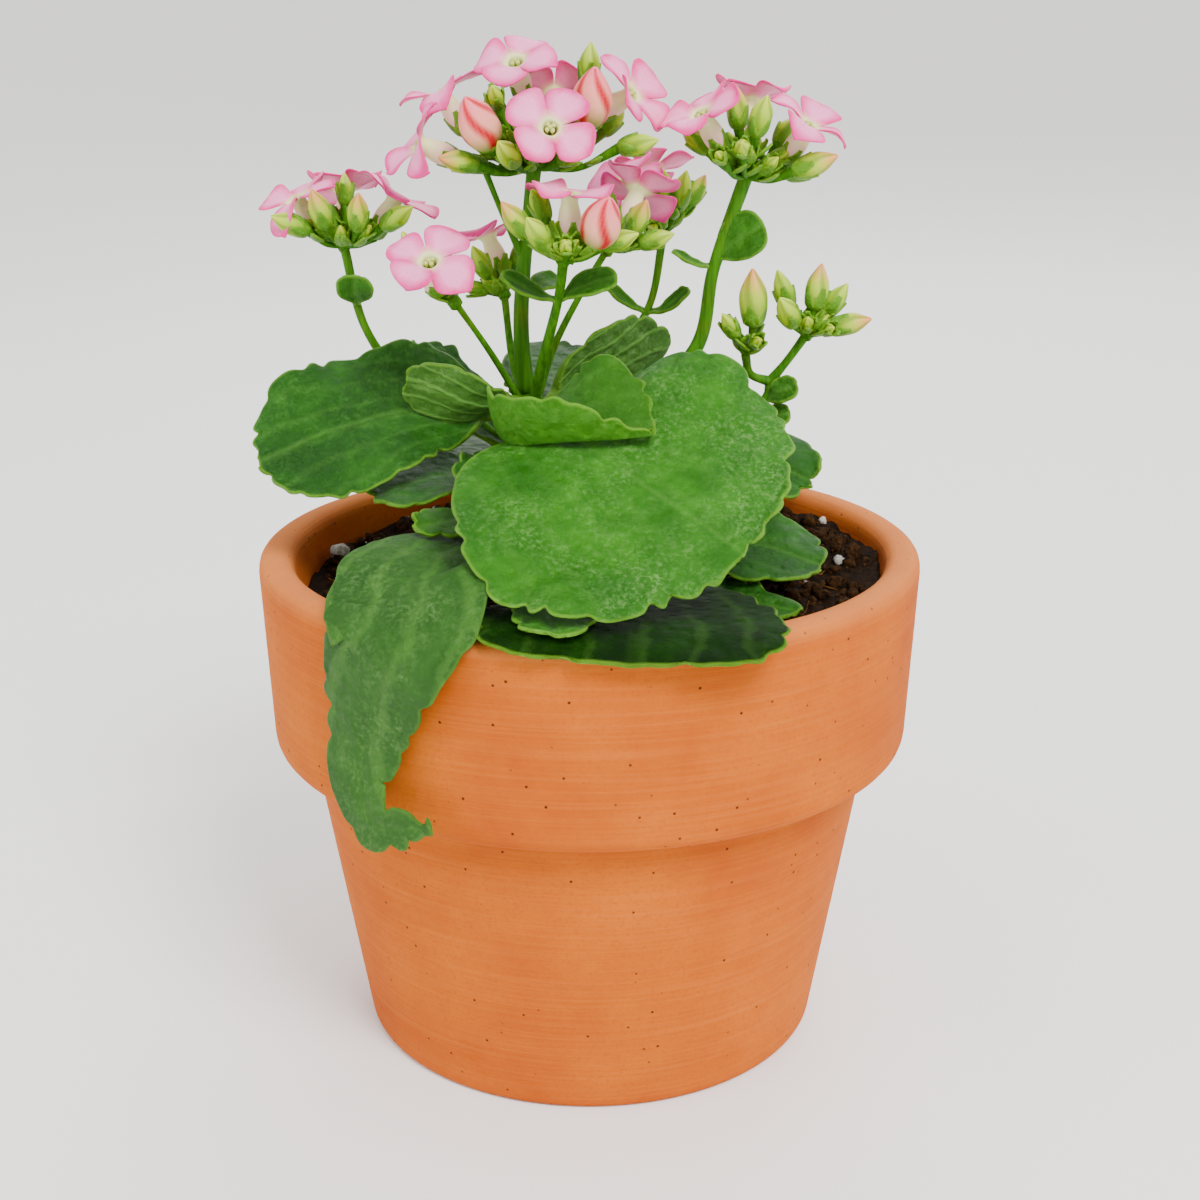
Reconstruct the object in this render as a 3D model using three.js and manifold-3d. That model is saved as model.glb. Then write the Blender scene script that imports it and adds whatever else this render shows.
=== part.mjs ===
// A flowering kalanchoe in a terracotta pot, in millimetres, +Z up.
// The origin is on the pot's axis, at the surface that the pot stands on, and -Y is the plant's best side.
import * as THREE from "three";
import { mergeVertices } from "three/addons/utils/BufferGeometryUtils.js";
import Module from "manifold-3d";

const wasm = await Module();
wasm.setup();

// ---- Pot and soil ----
const POT_HEIGHT = 87.5;
const RIM_RADIUS = 57;
const RIM_WALL = 5.6;
const BAND_HEIGHT = 34;
const BAND_FOOT_RADIUS = 55.5;
const BAND_ROUND = 3.2;
const BODY_TOP_RADIUS = 49.4;
const BASE_RADIUS = 40.6;
const BASE_ROUND = 1.6;
const BODY_WALL = 5.2;
const FLOOR_THICKNESS = 6;
const DRAIN_RADIUS = 6;
const SOIL_DROP = 6; // from the rim down to the soil
const SOIL_BUMP = 0.8;
const POT_SEGMENTS = 32;

// ---- Plant ----
const NECK_DROP = 9.5; // from the rim down to the plant's neck, where its heights are measured from
const STEM_FOOT_RADIUS = 3.4;
const STEM_TOP_RADIUS = 2.6;
const LEAF_THICKNESS = 1.1;
const BRACT_THICKNESS = 0.7;
const PETIOLE_WIDTH = 2.6;
const FLOWER_WIDTH = 15.5;
const FLOWER_SPACING = 15.5; // the flower width that the trusses are laid out for
const TUBE_LENGTH = 7.5;
const TUBE_RADIUS = 1.5;
const PETAL_THICKNESS = 0.5;
const PETAL_COUNT = 4;
const BUD_LENGTH = 8;
const BUD_RADIUS = 2;
const PEDICEL_RADIUS = 0.55;
const CLEARANCE = 0.3; // between pieces that touch on the real plant

const COLOURS = {
  terracotta: "#d98a58",
  soil: "#3a2617",
  stem: "#7f9a4c",
  leaf: "#4b8530",
  bud: "#b3c957",
  petal: "#f4b6d3",
};

const SOIL_LEVEL = POT_HEIGHT - SOIL_DROP;
const NECK_LEVEL = POT_HEIGHT - NECK_DROP;

// ---- Helpers ----
const vector = (point) => new THREE.Vector3(...point);
const degrees = THREE.MathUtils.degToRad;

/** A smooth curve through a list of points. */
function curveThrough(points) {
  return new THREE.CatmullRomCurve3(points.map(vector), false, "catmullrom", 0.5);
}

/**
 * A point for a leaf that lies over the rim, hangs outside it or stops inside it: its angle round the pot
 * from the front, and how far the leaf's near face is out from the pot's side there and up from the rim.
 * A leaf that lies on another leaf is one layer up.
 */
function overRim(angle, out, up, layer = 0) {
  const turn = degrees(angle);
  const down = THREE.MathUtils.clamp(-up / BAND_HEIGHT, 0, 1);
  const side = THREE.MathUtils.lerp(RIM_RADIUS, BAND_FOOT_RADIUS, down);
  const radius = side + out + LEAF_THICKNESS / 2;
  return [radius * Math.sin(turn), -radius * Math.cos(turn), NECK_DROP + up + (layer + 0.5) * LEAF_THICKNESS];
}

/** Reads a closed geometry's positions as a solid, turned to face outwards. */
function solidOf(geometry) {
  const bare = new THREE.BufferGeometry().setAttribute("position", geometry.getAttribute("position"));
  if (geometry.index) bare.setIndex(geometry.index);
  const merged = mergeVertices(bare, 1e-4);
  const make = (triVerts) =>
    new wasm.Manifold(
      new wasm.Mesh({ numProp: 3, vertProperties: merged.attributes.position.array, triVerts }),
    );
  const made = make(new Uint32Array(merged.index.array));
  if (made.volume() > 0) return made;
  return make(new Uint32Array(merged.index.array).reverse());
}

/** The solid's surface as a geometry. */
function geometryOf(solid) {
  const mesh = solid.getMesh();
  return new THREE.BufferGeometry()
    .setAttribute("position", new THREE.BufferAttribute(mesh.vertProperties, 3))
    .setIndex(new THREE.BufferAttribute(mesh.triVerts, 1));
}

const joined = (solids) => solids.reduce((sum, solid) => sum.add(solid));

/** What is left of a solid after cuts, without the offcuts. */
function cutBy(solid, tools) {
  const rest = tools.reduce((left, tool) => left.subtract(tool), solid);
  return rest.decompose().reduce((most, body) => (body.volume() > most.volume() ? body : most));
}

/** A closed geometry from rings of equal length, each end closed by a fan. */
function loft(rings) {
  const size = rings[0].length;
  const centre = (ring) => ring.reduce((sum, p) => sum.add(p), new THREE.Vector3()).divideScalar(size);
  const points = [...rings.flat(), centre(rings[0]), centre(rings.at(-1))];
  const [first, last] = [points.length - 2, points.length - 1];
  const faces = [];
  for (let k = 0; k < size; k++) {
    const next = (k + 1) % size;
    for (let i = 0; i + 1 < rings.length; i++) {
      const [a, b] = [i * size, (i + 1) * size];
      faces.push(a + k, a + next, b + next, a + k, b + next, b + k);
    }
    const end = (rings.length - 1) * size;
    faces.push(first, next, k, last, end + k, end + next);
  }
  return new THREE.BufferGeometry().setFromPoints(points).setIndex(faces);
}

/** A round stem through points whose radius runs from one value to another, as a solid. */
function stem(points, radii, { sides = 6, steps = 3 * (points.length - 1), grow = 0 } = {}) {
  const curve = curveThrough(points);
  const frames = curve.computeFrenetFrames(steps, false);
  const rings = [];
  for (let i = 0; i <= steps; i++) {
    const share = i / steps;
    const radius = THREE.MathUtils.lerp(radii[0], radii[1], share) + grow;
    const overrun = i === 0 ? -grow : i === steps ? grow : 0;
    const centre = curve.getPointAt(share).addScaledVector(frames.tangents[i], overrun);
    const ring = [];
    for (let k = 0; k < sides; k++) {
      const angle = (2 * Math.PI * k) / sides;
      ring.push(
        centre
          .clone()
          .addScaledVector(frames.normals[i], radius * Math.cos(angle))
          .addScaledVector(frames.binormals[i], radius * Math.sin(angle)),
      );
    }
    rings.push(ring);
  }
  return solidOf(loft(rings));
}

/** A direction blended from a list of directions spread evenly over a length. */
function blended(directions, share) {
  const place = share * (directions.length - 1);
  const index = Math.min(Math.floor(place), directions.length - 2);
  return vector(directions[index]).lerp(vector(directions[index + 1]), place - index).normalize();
}

/**
 * A leaf as a solid: a midrib curve, the way its upper face looks along it and its full width. Each half of
 * it, left of the midrib and right of it, has its share of the width, the angle that it is folded up by at
 * the midrib and the angle that it bends up by from there to its margin. The foot of the midrib is the petiole.
 */
function leaf(shape, thickness = LEAF_THICKNESS) {
  const { rib, faces, width, petiole = 0.2, taper = [0.6, 0.35] } = shape;
  const { lengthSteps = width > 14 ? 8 : 6, widthSteps = width > 14 ? 4 : 2 } = shape;
  const { halves = [1, 1], bends = [12, 12], folds = [0, 0] } = shape;
  const curve = curveThrough(rib);
  const [baseTaper, tipTaper] = taper;
  const widest = baseTaper / (baseTaper + tipTaper);
  const bluntest = 0.985; // the tip is rounded off just short of its end
  const halfWidth = (share) => {
    const place = Math.min(Math.max((share - petiole) / (1 - petiole), 0), bluntest);
    const outline = (place / widest) ** baseTaper * ((1 - place) / (1 - widest)) ** tipTaper;
    return Math.max(PETIOLE_WIDTH / 2, (width / 2) * outline);
  };
  const pointAt = (share, across) => {
    const tangent = curve.getTangentAt(share);
    const face = blended(faces, share);
    const normal = face.addScaledVector(tangent, -face.dot(tangent)).normalize();
    const side = new THREE.Vector3().crossVectors(tangent, normal);
    const half = across < 0 ? 0 : 1;
    const [bend, folded] = [degrees(bends[half]) || 1e-4, degrees(folds[half])];
    const [reach, turn] = [(halves[half] * halfWidth(share)) / bend, folded + bend * Math.abs(across)];
    return curve
      .getPointAt(share)
      .addScaledVector(side, Math.sign(across) * reach * (Math.sin(turn) - Math.sin(folded)))
      .addScaledVector(normal, reach * (Math.cos(folded) - Math.cos(turn)));
  };
  const rings = [];
  for (let i = 0; i <= lengthSteps; i++) {
    const share = i / lengthSteps;
    const step = 1e-3;
    const [back, ahead] = [Math.max(share - step, 0), Math.min(share + step, 1)];
    const upper = [];
    const lower = [];
    for (let j = 0; j <= widthSteps; j++) {
      const across = -1 + (2 * j) / widthSteps;
      const along = pointAt(ahead, across).sub(pointAt(back, across));
      const over = pointAt(share, across + step).sub(pointAt(share, across - step));
      const normal = along.cross(over).normalize();
      upper.push(pointAt(share, across).addScaledVector(normal, thickness / 2));
      lower.push(pointAt(share, across).addScaledVector(normal, -thickness / 2));
    }
    rings.push([...upper, ...lower.reverse()]);
  }
  return solidOf(loft(rings));
}

/** Turns a geometry that points along +Z to point along a direction, and moves it to a place. */
function aimed(geometry, at, direction, spin = 0) {
  const aim = new THREE.Quaternion().setFromUnitVectors(
    new THREE.Vector3(0, 0, 1),
    vector(direction).normalize(),
  );
  return geometry.rotateZ(degrees(spin)).applyQuaternion(aim).translate(...at);
}

// ---- The made parts ----

/** The pot: a tapered body under a deep rim band, with a drain hole in its floor. */
function potSolid() {
  const bandFoot = POT_HEIGHT - BAND_HEIGHT;
  const inner = RIM_RADIUS - RIM_WALL;
  const crown = RIM_WALL / 2;
  const profile = new THREE.Path();
  profile.moveTo(DRAIN_RADIUS, 0);
  profile.lineTo(BASE_RADIUS - BASE_ROUND, 0);
  profile.quadraticCurveTo(BASE_RADIUS, 0, BASE_RADIUS, BASE_ROUND);
  profile.lineTo(BODY_TOP_RADIUS, bandFoot);
  profile.lineTo(BAND_FOOT_RADIUS - BAND_ROUND, bandFoot);
  profile.quadraticCurveTo(BAND_FOOT_RADIUS, bandFoot, BAND_FOOT_RADIUS, bandFoot + BAND_ROUND);
  profile.lineTo(RIM_RADIUS, POT_HEIGHT - crown);
  profile.quadraticCurveTo(RIM_RADIUS, POT_HEIGHT, RIM_RADIUS - crown, POT_HEIGHT);
  profile.quadraticCurveTo(inner, POT_HEIGHT, inner, POT_HEIGHT - crown);
  profile.lineTo(BODY_TOP_RADIUS - BODY_WALL, bandFoot);
  profile.lineTo(BASE_RADIUS - BODY_WALL, FLOOR_THICKNESS);
  profile.lineTo(DRAIN_RADIUS, FLOOR_THICKNESS);
  profile.closePath();
  return solidOf(new THREE.LatheGeometry(profile.getPoints(2), POT_SEGMENTS).rotateX(Math.PI / 2));
}

/** The soil: it fills the pot a little short of the wall, and its top is uneven. */
function soilSolid() {
  const bandFoot = POT_HEIGHT - BAND_HEIGHT;
  const inner = RIM_RADIUS - RIM_WALL;
  const waist = BODY_TOP_RADIUS - BODY_WALL;
  const rise = (SOIL_LEVEL - SOIL_BUMP - bandFoot) / (POT_HEIGHT - RIM_WALL / 2 - bandFoot);
  const edge = THREE.MathUtils.lerp(waist, inner, rise) - CLEARANCE;
  const profile = [
    new THREE.Vector2(0, FLOOR_THICKNESS + CLEARANCE),
    new THREE.Vector2(BASE_RADIUS - BODY_WALL - CLEARANCE, FLOOR_THICKNESS + CLEARANCE),
    new THREE.Vector2(waist - CLEARANCE, bandFoot),
    new THREE.Vector2(edge, SOIL_LEVEL - SOIL_BUMP),
  ];
  const topRings = 4;
  for (let i = 1; i <= topRings; i++) {
    profile.push(new THREE.Vector2(edge * (1 - i / topRings), SOIL_LEVEL - SOIL_BUMP));
  }
  const geometry = new THREE.LatheGeometry(profile, POT_SEGMENTS).rotateX(Math.PI / 2);
  const points = geometry.getAttribute("position");
  for (let i = 0; i < points.count; i++) {
    const [x, y, z] = [points.getX(i), points.getY(i), points.getZ(i)];
    const inside = Math.hypot(x, y) < edge - 1;
    const bump = Math.sin(0.31 * x + 0.7) * Math.cos(0.27 * y) + 0.5 * Math.sin(0.55 * (x - y));
    if (z > bandFoot + 1 && inside) points.setZ(i, z + (SOIL_BUMP / 2) * bump);
  }
  return solidOf(geometry);
}

// ---- The plant, measured from the pot's axis at its neck ----

const MAIN_STEM = [[-1, 2, -24], [-2, 2, 0], [-6, 1.5, 16], [-10.5, 0.5, 34]];

const LEAVES = {
  leaf_left: {
    rib: [[-8.5, 1, 30], [-17, -1, 32.5], [-28.5, -4.5, 33.5], [-42, -8, 31], [-55, -10.5, 26]],
    faces: [[0, -0.5, 0.85], [-0.1, -0.65, 0.75], [-0.2, -0.7, 0.7]],
    width: 29, bends: [10, 10], taper: [0.6, 0.4],
  },
  leaf_left_rear: {
    rib: [[-10, -1, 33], [-13.5, -4.5, 34.6], [-20, -9, 35.5], [-28.5, -8.5, 38.8]],
    faces: [[0, 0.3, 0.9], [0, 0.7, 0.7]],
    width: 9.5, bends: [10, 10],
  },
  leaf_back_left: {
    rib: [[-8, 2, 19], [-17, 9, 27], [-24, 16, 33], [-31, 22.5, 40]],
    faces: [[0.2, -0.2, 1], [0.4, -0.2, 0.9]],
    width: 15, bends: [20, 20],
  },
  leaf_front_folded: {
    rib: [[-9, 0, 29], [-14, -12, 31.5], [-12, -23, 32.5], [-3, -28, 34], [10.5, -28, 35]],
    faces: [[0, -0.2, 1], [0.1, -0.1, 1], [0.1, -0.1, 1]],
    width: 30, halves: [1, 0.48], bends: [12, 30], folds: [26, 58], taper: [0.6, 0.3],
  },
  leaf_front_large: {
    rib: [[-5, 0.5, 16], [-6, -10, 25.5], [-4.5, -22, 33.8], [9.5, -34, 27.3], [23.5, -44.5, 19.9]],
    faces: [[0, -0.7, 0.7], [0, -0.57, 0.82], [0, -0.57, 0.82], [0, -0.57, 0.82]],
    width: 57, bends: [5, 3], taper: [0.38, 0.45], petiole: 0.36,
  },
  leaf_over_left_rim: {
    rib: [[-4, 0.5, 10], [-15, -14, 14], [-23, -30, 16.3], overRim(-32.74, -7.62, 4.55), overRim(-28.5, -2.7, 3.05),
      overRim(-29.5, 2.9, -3.5), overRim(-33, 2.99, -14.55), overRim(-35.5, 3.73, -24.55), overRim(-31, 5.78, -30.05),
      overRim(-22, 6.19, -28.05)],
    faces: [[0, -0.3, 1], [-0.1, -0.3, 0.95], [0.1, -0.25, 0.95], [0, -0.45, 0.85], [-0.4, -0.75, 0.5],
      [-0.5, -0.85, 0.1], [-0.55, -0.8, 0], [-0.4, -0.9, 0.1]],
    width: 22, bends: [-6, -6], taper: [0.55, 0.75], petiole: 0.16, lengthSteps: 12,
  },
  leaf_over_front_rim: {
    rib: [[-4.8, 0.5, 5], [-5, -9, 7], [3.5, -18, 9.5], overRim(10.44, -18.91, 0.25), overRim(7, -5.55, 0.72), overRim(5.5, 2.8, -1.85)],
    faces: [[0, -0.1, 1], [0, 0, 1], [0, 0, 1], [0, -0.35, 1]],
    width: 47, bends: [4, 4], taper: [0.9, 0.2], petiole: 0.3, lengthSteps: 12,
  },
  leaf_front_small: {
    rib: [[-4.5, 0.5, 8], [-4.5, -18, 13], overRim(-8.236, -19.15, 1.9, 1), overRim(-4.475, 0.1258, 0.75, 1)],
    faces: [[0, -0.2, 1], [0, -0.1, 1]],
    width: 13.5, bends: [6, 6], taper: [0.6, 0.3], petiole: 0.5, lengthSteps: 10,
  },
  leaf_right_low: {
    rib: [[-2, 1.5, 8], [10, -9, 12.5], [25, -17, 14], [38, -22, 11.5]],
    faces: [[0.1, -0.4, 0.9], [0.2, -0.5, 0.9]],
    width: 18, bends: [10, 10], taper: [0.6, 0.35],
  },
  leaf_right_small: {
    rib: [[-2, 0, 6], [9, -14, 7.2], [22, -25, 7.4], overRim(47.22, -11.75, -3.55)],
    faces: [[0.1, -0.5, 0.9], [0.2, -0.5, 0.9]],
    width: 9, bends: [15, 15],
  },
  leaf_right_rear: {
    rib: [[-9, 2, 30], [-4, 7, 35], [5, 12.5, 38.5], [14.5, 18, 41.5]],
    faces: [[-0.1, 0.2, 0.95], [-0.2, 0.6, 0.8]],
    width: 15, bends: [10, 10], taper: [0.7, 0.6],
  },
  leaf_back_right: {
    rib: [[-8, 2, 26], [-6.5, 13, 32], [-5, 23, 34.6], [0.5, 31, 37.2]],
    faces: [[0, -0.3, 0.95], [0, -0.4, 0.9]],
    width: 22, bends: [10, 10],
  },
  leaf_right_inner: {
    rib: [[-6.5, 1.5, 17], [2, 5, 23.5], [10, 10, 29.5], [17, 15, 34.5]],
    faces: [[0, -0.3, 1], [0, -0.4, 0.9]],
    width: 14, bends: [12, 12],
  },
  leaf_center_low: {
    rib: [[-7.5, 0.5, 20], [-11, -9, 24], [-15, -17, 25.5], [-19, -23.5, 24.5]],
    faces: [[0.1, -0.4, 0.9], [0.1, -0.5, 0.85]],
    width: 14, bends: [10, 10],
  },
  leaf_left_low: {
    rib: [[-5.5, 1, 16], [-16, -3, 21.5], [-26, -9.5, 23], [-35.5, -16, 21.2]],
    faces: [[0, -0.2, 0.95], [-0.1, -0.35, 0.9]],
    width: 15, bends: [10, 15],
  },
  leaf_left_small: {
    rib: [[-5, 0.5, 12.5], [-12.5, -12, 16.8], [-20, -20, 18.8], [-27.5, -26.5, 19.2]],
    faces: [[0, -0.2, 0.95], [0, -0.4, 0.9]],
    width: 10, bends: [15, 15],
  },
  leaf_back_over_rim: {
    rib: [[-3, 3, 7], [-4, 20, 13], overRim(-178.5, -19.54, 3.95), overRim(176, -4.55, 2.95), overRim(176, 4.53, -1.75)],
    faces: [[0, 0.2, 1], [0, 0.2, 1], [0, 0.5, 1]],
    width: 36, bends: [-6, -6],
  },
  leaf_back_low_left: {
    rib: [[-4, 2.5, 12], [-17, 13, 21], [-29, 23, 22], [-42, 31, 17]],
    faces: [[-0.2, 0.2, 1], [-0.4, 0.3, 1]],
    width: 28, bends: [-8, -8],
  },
  leaf_back_low_right: {
    rib: [[-3, 2.5, 12], [11, 12, 20], [25, 22, 22], [40, 31, 18]],
    faces: [[0.2, 0.2, 1], [0.4, 0.3, 1]],
    width: 28, bends: [-8, -8],
  },
  leaf_right: {
    rib: [[11, 5, 18], [20, -1, 22.5], [29, -5.5, 24.8], [37.5, -9, 22]],
    faces: [[0.1, -0.5, 0.9], [0.3, -0.6, 0.75]],
    width: 17, bends: [10, 10],
  },
};

// A stalk: its points from the main stem up, its radius at each end, and the bracts on it.
const STALKS = {
  stalk_top: {
    points: [[-10.9, 0.4, 36.2], [-11.5, 0.5, 46], [-11, 1, 56], [-9, 0, 73]],
    radii: [1.35, 1.15],
    branches: [{ points: [[-11, 1, 58], [-14, -1, 65], [-17, -3, 73]], radius: 0.5 }],
    bracts: [{ rib: [[-10.7, 1, 52], [-8, 4, 53.5], [-5, 7, 54]], width: 5, face: [0, -0.6, 0.8] }],
  },
  stalk_front: {
    points: [[-9.5, -1, 33], [-8, -7, 41], [-5, -12, 53], [-4, -16, 60]],
    radii: [0.95, 0.8],
    bracts: [
      { rib: [[-5, -12, 53], [-9, -12.5, 54.5], [-14, -13, 57.5]], width: 4.5, face: [0, -0.5, 0.9] },
      { rib: [[-5, -12, 53], [-1, -12.5, 55.5], [4.5, -13, 57]], width: 5.5, face: [0, -0.7, 0.7] },
    ],
  },
  stalk_inner: { points: [[-9, 2, 34], [-6, 3.5, 43], [-1, 1, 53], [3, -2, 60]], radii: [0.65, 0.55] },
  stalk_rear: {
    points: [[-7.5, 2, 25], [0, 13, 34.5], [10, 20, 46], [13, 21, 60]],
    radii: [0.85, 0.7],
    bracts: [
      { rib: [[10, 20, 46], [6.5, 20, 48], [3, 20, 51]], width: 3, face: [0, -0.5, 0.9] },
      { rib: [[10, 20, 46], [13.5, 19.5, 47], [17.5, 19, 50.5]], width: 3.5, face: [0, -0.5, 0.9] },
    ],
  },
  stalk_right: {
    points: [[-7, 1, 20], [6, 3.5, 31], [18, 5, 42], [21, 5, 56], [26, 5, 71]],
    radii: [1.4, 1.1],
    bracts: [
      { rib: [[21, 5, 57], [24.5, 3.5, 60.5], [29, 2.5, 63.5]], width: 8.5, face: [-0.1, -0.9, 0.4] },
      { rib: [[21, 5, 56], [17.5, 5, 57], [14, 5, 59]], width: 2.6, face: [0, -0.3, 0.9] },
    ],
  },
  stalk_low_right: {
    points: [[-4, 1.5, 9], [9, 5, 17], [22, 6, 23], [30, 5, 33], [31, 5, 36]],
    radii: [1, 0.8],
    bracts: [
      { rib: [[30, 5, 33], [32, 3, 35], [35.5, 2, 36.5]], width: 5, face: [0.1, -0.8, 0.6] },
      { rib: [[27.5, 5.5, 29], [30.5, 3.5, 30.5], [34.5, 2.5, 31.5]], width: 4.5, face: [0, -0.8, 0.6] },
    ],
  },
  stalk_left: {
    points: [[-6.5, 2, 18], [-19, 9, 28], [-32, 12, 35], [-39, 10.5, 45], [-42, 10, 59]],
    radii: [0.95, 0.75],
    bracts: [{ rib: [[-40, 9.6, 49], [-40, 7, 51.5], [-39.6, 6, 54.5]], width: 6.8, face: [0, -0.95, 0.3] }],
  },
  stalk_front_left: { points: [[-10.5, -0.5, 32], [-16, -6, 43], [-21.5, -13, 53]], radii: [0.6, 0.5] },
  stalk_rear_left: { points: [[-11, 1.5, 33], [-13.5, 9, 40], [-15, 15, 50]], radii: [0.75, 0.65] },
};

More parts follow.
